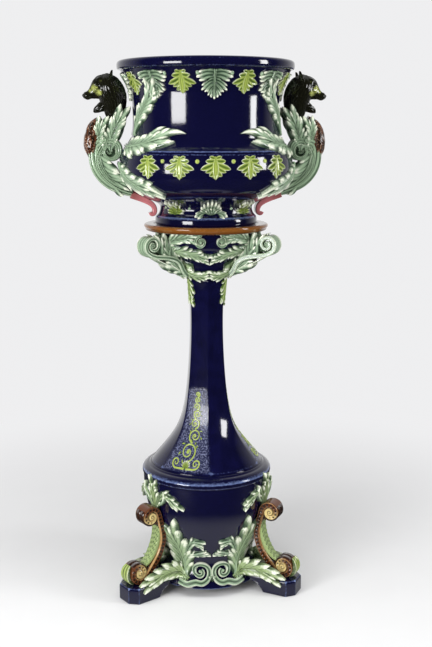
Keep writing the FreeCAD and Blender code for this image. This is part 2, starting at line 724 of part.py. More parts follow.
BELL_PROFILE = [
    (CAPITAL_FACE_RADIUS, CAPITAL_TOP_Z, 0.0),
    (CAPITAL_FACE_RADIUS - 4.0, CAPITAL_TOP_Z - 24.0, -18.0),
    (SHAFT_NECK_RADIUS + 25.0, SHAFT_TOP_Z + 48.0, -45.0),
    (SHAFT_NECK_RADIUS + 14.0, SHAFT_TOP_Z + 24.0, 0.0),
    (SHAFT_NECK_RADIUS, SHAFT_TOP_Z, -48.0),
]


def make_capital():
    """The hollow bell of the capital, and the same bell filled."""
    outer, outer_top, outer_low = profile(BELL_PROFILE)
    inner, inner_top, inner_low = profile(BELL_PROFILE[:4], -CAPITAL_WALL)
    throat = profile_point(SHAFT_NECK_RADIUS * 0.87 - SHAFT_WALL, SHAFT_TOP_Z)
    closing = [line(outer_top, inner_top), line(inner_low, throat), line(throat, outer_low)]
    bell = spun(outer + inner + closing)
    top_point, low_point = profile_point(0, CAPITAL_TOP_Z), profile_point(0, SHAFT_TOP_Z)
    closing = [line(outer_top, top_point), line(top_point, low_point), line(low_point, outer_low)]
    return bell, spun(outer + closing)


def make_corner(bell_filled):
    """A corner of the capital: a leaf that swells out from the bell and rolls up into a volute."""
    z = CAPITAL_TOP_Z - CAPITAL_VOLUTE_RADIUS - 0.5
    reach = CAPITAL_VOLUTE_REACH
    radius = CAPITAL_VOLUTE_RADIUS
    spiral = spiral_points((reach, z), -75.0, 500.0, radius - 5.0, 5.0, 13)
    stem = [(reach - 78.0, SHAFT_TOP_Z + 20.0), (reach - 67.0, SHAFT_TOP_Z + 40.0)]
    stem.append((reach - 36.0, SHAFT_TOP_Z + 54.0))
    strap = widened(strap_face(stem + spiral, lambda share: 10.0 - 5.0 * share), CAPITAL_VOLUTE_WIDTH)
    strap = strap.fuse(hub((reach, z), radius - 5.0, CAPITAL_VOLUTE_WIDTH - 8.0))
    core_points = [
        profile_point(40.0, SHAFT_TOP_Z + 20.0),
        profile_point(reach - 76.0, SHAFT_TOP_Z + 24.0),
        profile_point(reach - 36.0, SHAFT_TOP_Z + 56.0),
        profile_point(reach, z - radius + 9.0),
        profile_point(reach, CAPITAL_TOP_Z - 1.0),
        profile_point(40.0, CAPITAL_TOP_Z - 1.0),
    ]
    core = Part.Face(Part.Wire(polyline(core_points + core_points[:1])))
    strap = strap.fuse(widened(core, CAPITAL_VOLUTE_WIDTH - 12.0))
    return single(strap.cut(bell_filled))


def make_plate():
    """The round top plate: a moulded edge and a shallow seat for the jardiniere's foot ring."""
    bottom_z = CAPITAL_TOP_Z
    seat_z = PLATE_TOP_Z - PLATE_RECESS_DEPTH
    seat_radius = POT_FOOT_RADIUS + FOOT_PLAY
    edge = [
        profile_point(0, bottom_z),
        profile_point(PLATE_RADIUS - 7.0, bottom_z),
        profile_point(PLATE_RADIUS - 3.0, bottom_z + 2.5),
        profile_point(PLATE_RADIUS - 3.0, bottom_z + 6.0),
        profile_point(PLATE_RADIUS - 1.0, bottom_z + 7.0),
    ]
    lip = profile_point(PLATE_RADIUS - 4.0, PLATE_TOP_Z)
    inner = [
        lip,
        profile_point(seat_radius + 2.0, PLATE_TOP_Z),
        profile_point(seat_radius, seat_z),
        profile_point(0, seat_z),
        edge[0],
    ]
    swell = profile_point(PLATE_RADIUS, bottom_z + 11.0)
    return spun(polyline(edge) + [arc(edge[-1], swell, lip)] + polyline(inner))


def make_capital_leaves(corner):
    """Half of one face's leaf sprays: three tiers that sweep from a corner to the middle of the face."""
    skin = relief_band(BELL_PROFILE, LEAF_THICKNESS)
    corner_beside = turned(corner, 150.0)
    z = SHAFT_TOP_Z
    tiers = {
        "upper": ([(96.0, z + 78.0), (66.0, z + 100.0), (33.0, z + 93.0)], 12.0),
        "middle": ([(84.0, z + 66.0), (44.0, z + 64.0), (6.0, z + 50.0)], 13.0),
        "lower": ([(62.0, z + 54.0), (44.0, z + 8.0), (3.0, z + 12.0)], 14.0),
    }
    made = {}
    for name, (spine, half_width) in tiers.items():
        leaf = pressed(acanthus_outline(spine, half_width, 4), skin)
        made[name] = [single(leaf.cut([corner_beside] + sum(made.values(), [])))]
    curl_skin = relief_band(BELL_PROFILE[:3], LEAF_THICKNESS + 4.0)
    scroll_z = CAPITAL_TOP_Z - SMALL_SCROLL_RADIUS - 0.5
    ring = Part.Circle(V(0, SMALL_SCROLL_OFFSET, scroll_z), V(1, 0, 0), SMALL_SCROLL_RADIUS)
    disc = pressed(Part.Face(Part.Wire([ring.toShape()])), curl_skin)
    made["upper"].append(single(disc.cut(made["upper"])))
    return made


# ---- pedestal: legs, feet and leaves ----------------------------------------------------------------


def leg_path():
    """The C-scroll's centre line: upper volute, waist, lower volute, as (radius, z)."""
    radius = LEG_VOLUTE_RADIUS - LEG_THICKNESS / 2
    lower_z = BLOCK_HEIGHT + LEG_VOLUTE_RADIUS
    upper = spiral_points((LEG_UPPER_REACH, LEG_UPPER_Z), 180.0, -500.0, radius, 5.0, 13)
    lower = spiral_points((LEG_LOWER_REACH, lower_z), -90.0, 500.0, radius, 5.0, 13)
    waist = [
        (LEG_WAIST_RADIUS + 3.5, LEG_WAIST_Z + 26.0),
        (LEG_WAIST_RADIUS, LEG_WAIST_Z),
        (LEG_WAIST_RADIUS + 9.0, LEG_WAIST_Z - 34.0),
        (LEG_WAIST_RADIUS + 32.0, LEG_WAIST_Z - 67.0),
    ]
    return list(reversed(upper)) + waist + lower, lower_z


def leg_thickness(share):
    """Full between the volutes, thinning as each one rolls up."""
    edge = min(share, 1.0 - share)
    return 5.0 + (LEG_THICKNESS - 5.0) * min(1.0, edge / 0.3)


def make_leg(drum):
    path, lower_z = leg_path()
    leg = widened(strap_face(path, leg_thickness), LEG_WIDTH)
    hub_radius = LEG_VOLUTE_RADIUS - LEG_THICKNESS / 2
    leg = leg.fuse(hub((LEG_UPPER_REACH, LEG_UPPER_Z), hub_radius, LEG_WIDTH - 8.0))
    leg = leg.fuse(hub((LEG_LOWER_REACH, lower_z), hub_radius, LEG_WIDTH - 8.0))
    return single(leg.cut(drum))


def make_block_filled(extra, height):
    """A block of the plinth's outline, its sides moved outwards by extra."""
    half = BLOCK_WIDTH / 2 + extra
    corners = [
        (BLOCK_INNER_RADIUS, -half + 6.0),
        (BLOCK_OUTER_RADIUS - BLOCK_CORNER, -half),
        (BLOCK_OUTER_RADIUS + extra, -half + BLOCK_CORNER),
        (BLOCK_OUTER_RADIUS + extra, half - BLOCK_CORNER),
        (BLOCK_OUTER_RADIUS - BLOCK_CORNER, half),
        (BLOCK_INNER_RADIUS, half - 6.0),
    ]
    points = [V(x, y, 0) for x, y in corners]
    return Part.Face(Part.Wire(polyline(points + points[:1]))).extrude(V(0, 0, height))


def make_block(drum, leg):
    """The plinth block: long, with the outer corners cut off and the underside arched towards the drum."""
    block = make_block_filled(0.0, BLOCK_HEIGHT)
    top_edges = [e for e in block.Edges if min(v.Z for v in e.Vertexes) > BLOCK_HEIGHT - 0.01]
    outer_edges = [e for e in top_edges if max(v.X for v in e.Vertexes) > BLOCK_INNER_RADIUS + 1.0]
    block = block.makeChamfer(BLOCK_TOP_BEVEL, outer_edges)
    arch_centre = V(BLOCK_INNER_RADIUS + 8.0, -BLOCK_WIDTH, -10.0)
    arch = Part.makeCylinder(34.0, BLOCK_WIDTH * 2, arch_centre, V(0, 1, 0))
    return single(block.cut(arch).cut(drum).cut(leg))


def make_leg_leaf(leg):
    """The leaf that clothes the hollow side of the leg, and the small one over the lower volute."""
    path, lower_z = leg_path()
    hollow = [(LEG_WAIST_RADIUS + 8.0, LEG_WAIST_Z + 18.0), (LEG_WAIST_RADIUS + 8.5, LEG_WAIST_Z)]
    hollow += [(LEG_WAIST_RADIUS + 18.0, LEG_WAIST_Z - 30.0), (LEG_WAIST_RADIUS + 38.0, LEG_WAIST_Z - 55.0)]
    sheet = widened(strap_face(hollow, lambda share: 9.0), LEG_WIDTH - 8.0)
    toe_radius = LEG_VOLUTE_RADIUS + 1.0
    toe = spiral_points((LEG_LOWER_REACH, lower_z), -62.0, 74.0, toe_radius, toe_radius, 6)
    toe_sheet = widened(strap_face(toe, lambda share: 6.0), LEG_WIDTH - 8.0)
    pieces = [single(sheet.cut(leg)), single(toe_sheet.cut(leg))]
    return Part.makeCompound(pieces)


def make_shoulder_leaf(leg):
    """The three-branched leaf over the top of a leg, pressed on to the drum's wall."""
    band = relief_band(DRUM_PROFILE[:3], LEAF_THICKNESS)
    base_z = LEG_UPPER_Z + 10.0
    spine = [(0.0, base_z), (2.0, base_z + 28.0), (0.0, DRUM_RIM_Z - 17.0)]
    centre = pressed(acanthus_outline(spine, 16.0, 4), band)
    spine = [(6.0, base_z + 4.0), (34.0, base_z + 46.0), (66.0, base_z + 24.0)]
    branch = pressed(acanthus_outline(spine, 10.0, 4), band)
    return single(centre.fuse([branch, mirrored(branch)]).cut(leg))


def make_face_leaves(leg):
    """Half of one face's spray: a big scroll with a hooked leaf, a tall leaf, and a leaf out to the foot."""
    leg_beside = turned(leg, 150.0)
    block = turned(make_block_filled(0.0, FOOT_LEAF_TOP_Z), 150.0)
    skin = relief_band(DRUM_PROFILE[1:], LEAF_THICKNESS)
    path = spiral_points((0.0, 0.0), -60.0, -440.0, FACE_SCROLL_RADIUS - 4.0, 4.0, 11)
    path = [(FACE_SCROLL_OFFSET - x, FACE_SCROLL_Z + z) for x, z in path]
    band = strap_face(path, lambda share: 8.0 - 3.0 * share)
    band.rotate(ORIGIN, UP, 90.0)
    scroll = pressed(band, skin)
    hook_spine = [(46.0, 66.0), (50.0, 122.0), (12.0, 112.0)]
    hook = single(pressed(acanthus_outline(hook_spine, 8.0, 4), skin).cut(scroll))
    tall_spine = [(58.0, 34.0), (62.0, 104.0), (100.0, 182.0)]
    tall = single(pressed(acanthus_outline(tall_spine, 17.0, 6), skin).cut([leg_beside, scroll, hook]))
    foot_outline = acanthus_outline([(54.0, 42.0), (100.0, 58.0), (160.0, 24.0)], 17.0, 5)
    corner = V(0, -BLOCK_WIDTH / 2, 0)
    beyond = Part.makeBox(2 * BLOCK_OUTER_RADIUS, 2 * BLOCK_WIDTH, 2 * FOOT_LEAF_TOP_Z, corner)
    on_drum = single(pressed(foot_outline, skin).cut([leg_beside, turned(beyond, 150.0), scroll, tall]))
    edges, flare_top, flare_low = profile(DRUM_PROFILE[2:], LEAF_THICKNESS)
    top_point, low_point = profile_point(0, flare_top.z), profile_point(0, flare_low.z)
    closing = [line(flare_top, top_point), line(top_point, low_point), line(low_point, flare_low)]
    flare = spun(edges + closing)
    far_side = Part.makeBox(2 * BLOCK_OUTER_RADIUS, BLOCK_WIDTH, FOOT_LEAF_TOP_Z)
    near_side = make_block_filled(LEAF_THICKNESS, FOOT_LEAF_TOP_Z).cut(far_side)
    grown = turned(near_side, 150.0).cut([block, leg_beside])
    on_block = single(pressed(foot_outline, grown).cut(flare))
    return [scroll, hook], [tall], [on_drum, on_block]


# ---- build ------------------------------------------------------------------------------------------


def build_jardiniere():
    bowl = make_bowl()
    export("bowl", bowl)
    sprigs = make_sprigs()
    pieces = make_handle_pieces(bowl)
    pieces["foot_bracket"] = make_foot_bracket(bowl, pieces["handle_scroll"])
    leaves = make_handle_leaves([pieces["handle_scroll"], pieces["handle_collar"]], sprigs)
    for side, azimuth in HANDLE_AZIMUTHS.items():
        for name, shape in pieces.items():
            export(name + "_" + side, turned(shape, azimuth))
        for name, (leaf, offset) in leaves.items():
            pair = [turned(leaf, azimuth + offset), turned(mirrored(leaf), azimuth - offset)]
            export("handle_leaf_" + name + "_" + side, Part.makeCompound(pair))


def build_pedestal():
    base, drum_filled = make_drum()
    export("drum", base)
    export("shaft", make_shaft())
    bell, bell_filled = make_capital()
    export("capital_bell", bell)
    export("top_plate", make_plate())
    corner = make_corner(bell_filled)
    leg = make_leg(drum_filled)
    block = make_block(drum_filled, leg)
    leg_leaf = make_leg_leaf(leg)
    shoulder = make_shoulder_leaf(leg)
    for name, azimuth in FEET_AZIMUTHS.items():
        export("capital_corner_" + name, turned(corner, azimuth))
        export("leg_scroll_" + name, turned(leg, azimuth))
        export("foot_block_" + name, turned(block, azimuth))
        export("leg_leaf_" + name, turned(leg_leaf, azimuth))
        export("shoulder_leaf_" + name, turned(shoulder, azimuth))
    tiers = make_capital_leaves(corner)
    for name, halves in tiers.items():
        both = Part.makeCompound(halves + [mirrored(half) for half in halves])
        export("capital_leaves_" + name, turned_all(both, FACE_AZIMUTHS.values()))
    export("neck_pendants", turned_all(make_pendant(), FEET_AZIMUTHS.values()))
    kinds = ("base_scrolls_", "base_leaves_", "foot_leaves_")
    for kind, halves in zip(kinds, make_face_leaves(leg)):
        both = Part.makeCompound(halves + [mirrored(half) for half in halves])
        for name, azimuth in FACE_AZIMUTHS.items():
            export(kind + name, turned(both, azimuth))


os.makedirs("parts", exist_ok=True)
build_jardiniere()
build_pedestal()
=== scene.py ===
"""A glazed jardiniere on its stand: the modelled relief, the glazes and a plain studio round them.

Lengths inside the shape functions are millimetres in the part's own frame; they become metres when a
mesh is made.  An azimuth is counted from the front (-Y) towards +X.  A piece that repeats round the axis
is worked out at azimuth 90, where x points away from the axis and y along the tangent, and is then turned.
"""

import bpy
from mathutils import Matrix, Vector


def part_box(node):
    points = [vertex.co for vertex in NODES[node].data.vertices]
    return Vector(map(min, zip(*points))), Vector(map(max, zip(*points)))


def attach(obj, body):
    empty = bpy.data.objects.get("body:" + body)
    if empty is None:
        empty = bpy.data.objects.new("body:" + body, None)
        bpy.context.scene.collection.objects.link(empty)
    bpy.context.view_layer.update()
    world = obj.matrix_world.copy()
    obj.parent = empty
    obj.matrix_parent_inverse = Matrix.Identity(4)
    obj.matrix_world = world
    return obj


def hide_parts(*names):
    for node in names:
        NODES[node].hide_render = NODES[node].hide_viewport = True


bl_info = {
    "name": "Jardiniere on stand",
    "version": (1, 0, 0),
    "blender": (4, 5, 0),
    "location": "View3D > Sidebar > Jardiniere",
    "description": "Dresses the packed jardiniere and stand with modelled relief and majolica glazes",
    "category": "Object",
}

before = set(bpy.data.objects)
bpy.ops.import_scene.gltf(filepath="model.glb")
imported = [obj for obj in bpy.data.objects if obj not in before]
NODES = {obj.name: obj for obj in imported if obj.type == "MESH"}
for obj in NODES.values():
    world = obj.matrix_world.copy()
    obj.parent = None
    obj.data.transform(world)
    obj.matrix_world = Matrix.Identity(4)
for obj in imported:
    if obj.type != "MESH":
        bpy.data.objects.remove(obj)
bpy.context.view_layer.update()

import math

import bpy
import numpy as np

TOP_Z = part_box("bowl")[1].z * 1000.0
FEET = {"left": -60.0, "right": 60.0, "back": 180.0}
FACES = {"front": 0.0, "rear_right": 120.0, "rear_left": 240.0}
HANDLES = {"right": 90.0, "left": 270.0}


# ---- sizes and colours that a user would change -----------------------------------------------------


def colour(name, value, text):
    return bpy.props.FloatVectorProperty(
        name=name, description=text, default=value, subtype="COLOR", size=3, min=0.0, max=1.0
    )


def length(name, value, text):
    return bpy.props.FloatProperty(name=name, description=text, default=value, min=0.0, unit="LENGTH")


class GlazeColours(bpy.types.PropertyGroup):
    """Colours of the glazes, as linear red, green and blue."""

    cobalt: colour("Cobalt", (0.0022, 0.0022, 0.019), "Deep blue ground glaze")
    # Pale blue on edges: the glaze running thinner there, and painted highlights.
    cobalt_thin_and_highlight: colour("Cobalt where thin", (0.15, 0.2, 0.4), "Blue glaze that has run off an edge")
    mint: colour("Mint", (0.33, 0.45, 0.3), "Body colour of the acanthus leaves")
    # Mint in hollows: pooled glaze and painted shade in the grooves.
    mint_deep: colour("Mint in hollows", (0.008, 0.03, 0.014), "Green glaze pooled in the grooves")
    # Cream on tips and edges: partly the leaves' cream glaze, partly painted highlights.
    cream: colour("Cream", (0.84, 0.87, 0.72), "Glaze over leaf tips and edges")
    lime: colour("Lime", (0.36, 0.44, 0.09), "Yellow-green of the small leaves")
    # Lime in hollows: pooled glaze and painted shade in the veins.
    lime_deep: colour("Lime in hollows", (0.03, 0.075, 0.008), "Yellow-green pooled in the veins")
    brown: colour("Brown", (0.11, 0.032, 0.011), "Brown of the scroll legs")
    # Tan on raised lines: the glaze running thinner there, and painted highlights.
    tan: colour("Tan", (0.5, 0.3, 0.13), "Brown glaze where it is thin over raised lines")
    butter: colour("Butter", (0.8, 0.62, 0.27), "Cream-yellow of the scroll eyes")
    honey: colour("Honey", (0.22, 0.075, 0.012), "Amber glaze of the top plate")
    fur: colour("Fur", (0.0075, 0.0075, 0.0035), "Black-brown of the bears' coats")
    muzzle: colour("Muzzle", (0.42, 0.46, 0.12), "Yellow-green patches on the bears' faces")
    rose: colour("Rose", (0.62, 0.2, 0.22), "Pink of the brackets and the mouths")
    lining: colour("Lining", (0.3, 0.47, 0.44), "Pale turquoise glaze inside the bowl")
    wash: colour("Panel wash", (0.2, 0.22, 0.36), "Blue-grey stipple behind the shaft's scrolls")


class ReliefSizes(bpy.types.PropertyGroup):
    """Heights of the relief above the surface that carries it."""

    sprig_rise: length("Sprig rise", 0.0036, "Height of the small pressed leaves")
    leaf_rise: length("Leaf rise", 0.0062, "Height of the acanthus leaves at their tips")
    bead_rise: length("Bead rise", 0.0034, "Height of the beads between the leaves")
    vine_rise: length("Vine rise", 0.0013, "Height of the scrolls on the shaft's panels")
    fur_depth: length("Fur depth", 0.0009, "Depth of the locks cut into the bears' coats")


class StudioLevels(bpy.types.PropertyGroup):
    """Light and background."""

    backdrop: bpy.props.FloatProperty(
        name="Backdrop", description="Grey level behind the object", default=0.86, min=0.0, max=1.0
    )
    fill: bpy.props.FloatProperty(
        name="Fill", description="Strength of the even light from the room", default=0.42, min=0.0, max=2.0
    )
    lens: bpy.props.FloatProperty(
        name="Lens", description="Focal length for a 36 mm sensor", default=56.75, min=10.0, max=200.0
    )


# ---- curves -----------------------------------------------------------------------------------------


def ease(low, high, value):
    """A smooth step from 0 at low to 1 at high: 3t^2 - 2t^3."""
    t = np.clip((value - low) / (high - low), 0.0, 1.0)
    return t * t * (3.0 - 2.0 * t)


def bezier(control, shares):
    """Points on Bezier curves: neighbouring control points are blended until one is left."""
    level = np.repeat(np.asarray(control, float)[..., None, :, :], len(shares), axis=-3)
    t = np.asarray(shares, float)[:, None, None]
    while level.shape[-2] > 1:
        level = level[..., :-1, :] * (1.0 - t) + level[..., 1:, :] * t
    return level[..., 0, :]


def smooth_through(points, count):
    """A natural cubic spline through points, by chord length, read at count even shares."""
    p = np.asarray(points, float)
    t = np.concatenate([[0.0], np.cumsum(np.linalg.norm(np.diff(p[:, :2], axis=0), axis=1))])
    h = np.diff(t)[:, None]
    n = len(p)
    inner = np.arange(1, n - 1)
    a = np.eye(n)
    a[inner, inner - 1] = h[:-1, 0]
    a[inner, inner] = 2.0 * (h[:-1, 0] + h[1:, 0])
    a[inner, inner + 1] = h[1:, 0]
    slopes = np.diff(p, axis=0) / h
    rhs = np.zeros_like(p)
    rhs[inner] = 6.0 * np.diff(slopes, axis=0)
    m = np.linalg.solve(a, rhs)
    s = np.linspace(0.0, t[-1], count)
    k = np.clip(np.searchsorted(t, s, "right") - 1, 0, n - 2)
    u, v, w = (s - t[k])[:, None], (t[k + 1] - s)[:, None], h[k]
    bend = (m[k] * v**3 + m[k + 1] * u**3) / (6.0 * w)
    return bend + (p[k] / w - m[k] * w / 6.0) * v + (p[k + 1] / w - m[k + 1] * w / 6.0) * u


def spiral(centre, start, sweep, first_radius, last_radius, count):
    """Points whose distance from the centre falls evenly with their angle in degrees."""
    share = np.linspace(0.0, 1.0, count + 1)
    angle = np.radians(start + sweep * share)
    radius = first_radius + (last_radius - first_radius) * share
    return np.stack([centre[0] + radius * np.cos(angle), centre[1] + radius * np.sin(angle)], axis=-1)


def sideways(line):
    """Unit tangents of lines (..., rows, 2) and their left-hand normals."""
    way = np.gradient(line, axis=-2)
    way = way / np.maximum(np.linalg.norm(way, axis=-1, keepdims=True), 1e-9)
    return way, np.stack([-way[..., 1], way[..., 0]], axis=-1)


def turn(points, azimuth):
    """Points worked out at azimuth 90, turned round the axis to another azimuth."""
    a = math.radians(azimuth - 90.0)
    x, y, z = points[..., 0], points[..., 1], points[..., 2]
    return np.stack([x * math.cos(a) - y * math.sin(a), x * math.sin(a) + y * math.cos(a), z], axis=-1)


# ---- surfaces that carry relief: x = depth(y, z) ----------------------------------------------------


def turned_radius(stations):
    """Radius over height through (radius, z, outward lean going down), as cubics that keep each lean."""
    r, z, lean = np.array(sorted(stations, key=lambda s: s[1]), float).T
    slope = -np.tan(np.radians(lean))

    def radius(height):
        height = np.clip(height, z[0], z[-1])
        k = np.clip(np.searchsorted(z, height, "right") - 1, 0, len(z) - 2)
        w = z[k + 1] - z[k]
        t = (height - z[k]) / w
        rise = (2 * t**3 - 3 * t**2 + 1) * r[k] + (3 * t**2 - 2 * t**3) * r[k + 1]
        return rise + w * ((t**3 - 2 * t**2 + t) * slope[k] + (t**3 - t**2) * slope[k + 1])

    return radius


def round_depth(radius):
    """Depth of a turned surface in front of the plane through the axis: sqrt(radius^2 - y^2)."""
    return lambda y, z: np.sqrt(np.maximum(radius(z) ** 2 - y**2, 4.0))


def press(flat, height, depth, azimuth):
    """Flat points (across, up) laid on a surface x = depth(y, z) and lifted along its normal.  Where the
    carrier is a side wall (its |y| over (x, z), its side) the flat points are (x, z), lifted along y."""
    y, z = flat[..., 0], flat[..., 1]
    if isinstance(depth, tuple):
        return turn(np.stack([y, depth[1] * (depth[0](y, z) + height), z], axis=-1), azimuth)
    e = 0.4
    dy = np.clip((depth(y + e, z) - depth(y - e, z)) / (2 * e), -2.5, 2.5)
    dz = np.clip((depth(y, z + e) - depth(y, z - e)) / (2 * e), -2.5, 2.5)
    normal = np.stack([np.ones_like(dy), -dy, -dz], axis=-1)
    normal /= np.linalg.norm(normal, axis=-1, keepdims=True)
    return turn(np.stack([depth(y, z), y, z], axis=-1) + normal * height[..., None], azimuth)


def wall_at(depth, side):
    """A flat side wall at one |y|."""
    return (lambda x, z: depth + 0.0 * x, side)


WALL = [(180, 1146, -18), (165, 1118, -24), (157.5, 1070, -2), (160, 1012, 9), (178, 985, 52)]
BELLY = [(184, 976, 20), (188, 948, 0), (172, 905, -42), (126, 879.5, -66), (100, 862, 0), (103.5, 847.7, 24)]
DRUM = [(143.5, 258, 0), (136, 192, -12), (107, 102, -18), (100, 74, 0), (114, 38, 30), (122, 22, 23)]
BELL = [(106, 811, 0), (102, 787, -18), (72, 752, -45), (61, 728, 0), (47, 704, -48)]
pot_radius = turned_radius(WALL + [(181, 981, 30)] + BELLY)
drum_radius = turned_radius([(145, 270, 0)] + DRUM)
bell_radius = turned_radius(BELL)
SHAFT = [(126, 286, 1), (103.3, 315, 0.9), (72.6, 361, 0.5), (52.9, 430, 0.2), (43.9, 516, 0.12), (40.5, 616, 0.12)]
SHAFT = SHAFT + [(42.8, 670, 0.14), (47, 704, 0.3)]


def shaft_corner(z):
    """Corner radius and side roundness of the six-sided shaft at a height."""
    table = smooth_through([(s[1], 0.0, s[0], s[2]) for s in SHAFT], 240)
    return np.interp(z, table[:, 0], table[:, 2]), np.maximum(np.interp(z, table[:, 0], table[:, 3]), 0.06)


def shaft_depth(y, z):
    """Depth of one side: a circle through both corners and a middle that roundness moves outwards."""
    corner, roundness = shaft_corner(z)
    apothem = corner * math.cos(math.radians(30.0))
    sagitta = np.maximum((corner - apothem) * roundness, 0.05)
    radius = ((corner / 2) ** 2 + sagitta**2) / (2 * sagitta)
    return apothem + sagitta - radius + np.sqrt(np.maximum(radius**2 - y**2, 1.0))


def shaft_edge_depth(y, z):
    """Depth over a corner of the shaft: the corner radius less a soft |y| tan 30."""
    corner, _ = shaft_corner(z)
    return corner - 0.577 * np.sqrt(y**2 + 9.0) + 1.2


def foot_depth(y, z):
    """The drum's flare running over on to the side of the plinth block, with a soft fillet between."""
    drum = np.sqrt(np.maximum(drum_radius(z) ** 2 - y**2, 1.0))
    block = (36.0 + 0.5 * np.abs(y)) / 0.866
    return 0.5 * (drum + block + np.sqrt((drum - block) ** 2 + 60.0))


# ---- shells -----------------------------------------------------------------------------------------


class Shells:
    """Closed shells of one piece.  Each vertex carries a paint of three values: hollow, for pooled glaze and painted
    shade; edge, for glaze running thinner and painted highlights; tint.
    """

    def __init__(self):
        self.points, self.paints, self.loops, self.sizes, self.count = [], [], [], [], 0

    def add(self, points, hollow=0.0, edge=0.0, tint=0.0, ring=False):
        """Adds tubes (n, rows, around, 3).  Rows are joined by quads; the ends are closed by fans to the
        middle of the end row, or joined to each other for a ring.  A tube that is inside out is turned."""
        points = np.asarray(points, float)
        points = points[None] if points.ndim == 3 else points
        n, rows, around = points.shape[:3]
        paint = np.stack([np.broadcast_to(value, (n, rows, around)) for value in (hollow, edge, tint)], axis=-1)
        j = np.arange(around)
        i = np.arange(rows if ring else rows - 1)[:, None]
        below = (i + 1) % rows
        quads = np.stack([i * around + j, i * around + (j + 1) % around, below * around + (j + 1) % around,
                          below * around + j], axis=-1).reshape(-1, 4)
        flat = points.reshape(n, -1, 3)
        colours = paint.reshape(n, -1, 3)
        fans = np.zeros((0, 3), int)
        if not ring:
            flat = np.concatenate([flat, points[:, 0].mean(1)[:, None], points[:, -1].mean(1)[:, None]], axis=1)
            colours = np.concatenate([colours, paint[:, 0].mean(1)[:, None], paint[:, -1].mean(1)[:, None]], axis=1)
            first, last, end = rows * around, rows * around + 1, (rows - 1) * around
            top = np.stack([np.full(around, first), (j + 1) % around, j], axis=-1)
            low = np.stack([np.full(around, last), end + j, end + (j + 1) % around], axis=-1)
            fans = np.concatenate([top, low])
        triangles = np.concatenate([quads[:, [0, 1, 2]], quads[:, [0, 2, 3]], fans])
        a, b, c = (flat[:, triangles[:, k]] for k in range(3))
        centre = flat.mean(1)[:, None]
        volume = np.einsum("nti,nti->n", a - centre, np.cross(b - centre, c - centre))
        for k in range(n):
            flip = slice(None, None, -1) if volume[k] < 0 else slice(None)
            for faces in (quads, fans):
                if len(faces):
                    self.loops.append((faces[:, flip] + self.count).ravel())
                    self.sizes.append(np.full(len(faces), faces.shape[1]))
            self.count += flat.shape[1]
        self.points.append(flat.reshape(-1, 3))
        self.paints.append(colours.reshape(-1, 3))
        return self

    def turned(self, azimuths, mirrored=False):
        """The same shells at several azimuths; mirrored adds the left-right mirror, "only" gives it alone."""
        out = Shells()
        points, paints = np.concatenate(self.points), np.concatenate(self.paints)
        loops, sizes = np.concatenate(self.loops), np.concatenate(self.sizes)
        starts = np.repeat(np.concatenate([[0], np.cumsum(sizes)])[:-1], sizes)
        back = 2 * starts + np.repeat(sizes, sizes) - 1 - np.arange(len(loops))
        flips = {False: (False,), True: (False, True), "only": (True,)}[mirrored]
        for azimuth in azimuths:
            for flip in flips:
                out.points.append(turn(points * [1, -1, 1] if flip else points, azimuth))
                out.paints.append(paints)
                out.loops.append((loops[back] if flip else loops) + out.count)
                out.sizes.append(sizes)
                out.count += len(points)
        return out

    def join(self, other):
        """Takes over another set of shells."""
        self.points += other.points
        self.paints += other.paints
        self.loops += [loop + self.count for loop in other.loops]
        self.sizes += other.sizes
        self.count += other.count
        return self

    def piece(self, name, body, material, slot, *nodes):
        """Makes the object, in metres, riding on a body in place of its plain nodes."""
        mesh = bpy.data.meshes.new(name)
        points = np.concatenate(self.points) / 1000.0
        loops, sizes = np.concatenate(self.loops), np.concatenate(self.sizes)
        mesh.vertices.add(len(points))
        mesh.vertices.foreach_set("co", points.astype(np.float32).ravel())
        mesh.loops.add(len(loops))
        mesh.loops.foreach_set("vertex_index", loops.astype(np.int32))
        mesh.polygons.add(len(sizes))
        mesh.polygons.foreach_set("loop_start", np.concatenate([[0], np.cumsum(sizes)[:-1]]).astype(np.int32))
        mesh.update(calc_edges=True)
        mesh.polygons.foreach_set("use_smooth", np.ones(len(sizes), bool))
        paint = mesh.attributes.new("paint", "FLOAT_COLOR", "POINT")
        values = np.concatenate([np.concatenate(self.paints), np.ones((len(points), 1))], axis=1)
        paint.data.foreach_set("color", values.astype(np.float32).ravel())
        mesh.materials.append(material)
        mesh.update()
        piece = bpy.data.objects.new(name, mesh)
        bpy.context.scene.collection.objects.link(piece)
        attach(piece, body)
        if nodes:
            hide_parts(*nodes)
        return piece


TOP_V = np.linspace(-1.0, 1.0, 11)
BLADE_V = np.concatenate([TOP_V, [0.86, 0.0, -0.86]])
BLADE_TOP = np.concatenate([np.ones(11), np.zeros(3)])


def blade_section(shares, veined):
    """Height, hollow and edge of a blade across (v) and along (u).  A veined blade is a trough
    0.4 + 0.6 v^1.6 with rolled edges, dark in the middle.  A plain one is a crest (1 - v^2.6)^0.7, dark
    in the valleys and by its root and pale over its tip."""
    v, u = np.abs(BLADE_V), shares[:, None]
    # Dark valleys, middles and roots are pooled glaze and painted shade; pale edges and tips are thinner glaze and
    # painted highlights.
    if veined:
        height = (0.4 + 0.6 * v**1.6) * (1.0 - 0.7 * v**10)
        hollow = np.clip(1.3 - 1.9 * v, 0.0, 1.0) * (1.0 - 0.5 * ease(0.7, 1.0, u))
        edge = ease(0.5, 0.9, v) * (0.45 + 0.55 * u) + ease(0.75, 1.0, u) * 0.6
    else:
        height = np.clip(1.0 - v**2.6, 0.0, 1.0) ** 0.7 + 0.0 * u
        hollow = ease(0.12, 0.62, v) * (1.0 - 0.6 * ease(0.55, 0.95, u)) + 0.7 * (1.0 - ease(0.0, 0.5, u))
        edge = ease(0.55, 0.95, u) * (1.0 - 0.5 * ease(0.5, 0.9, v)) + 0.35 * (1.0 - ease(0.05, 0.5, v)) * ease(0.2, 0.5, u)
    return height * BLADE_TOP, np.clip(hollow, 0.0, 1.0), np.clip(edge, 0.0, 1.0)


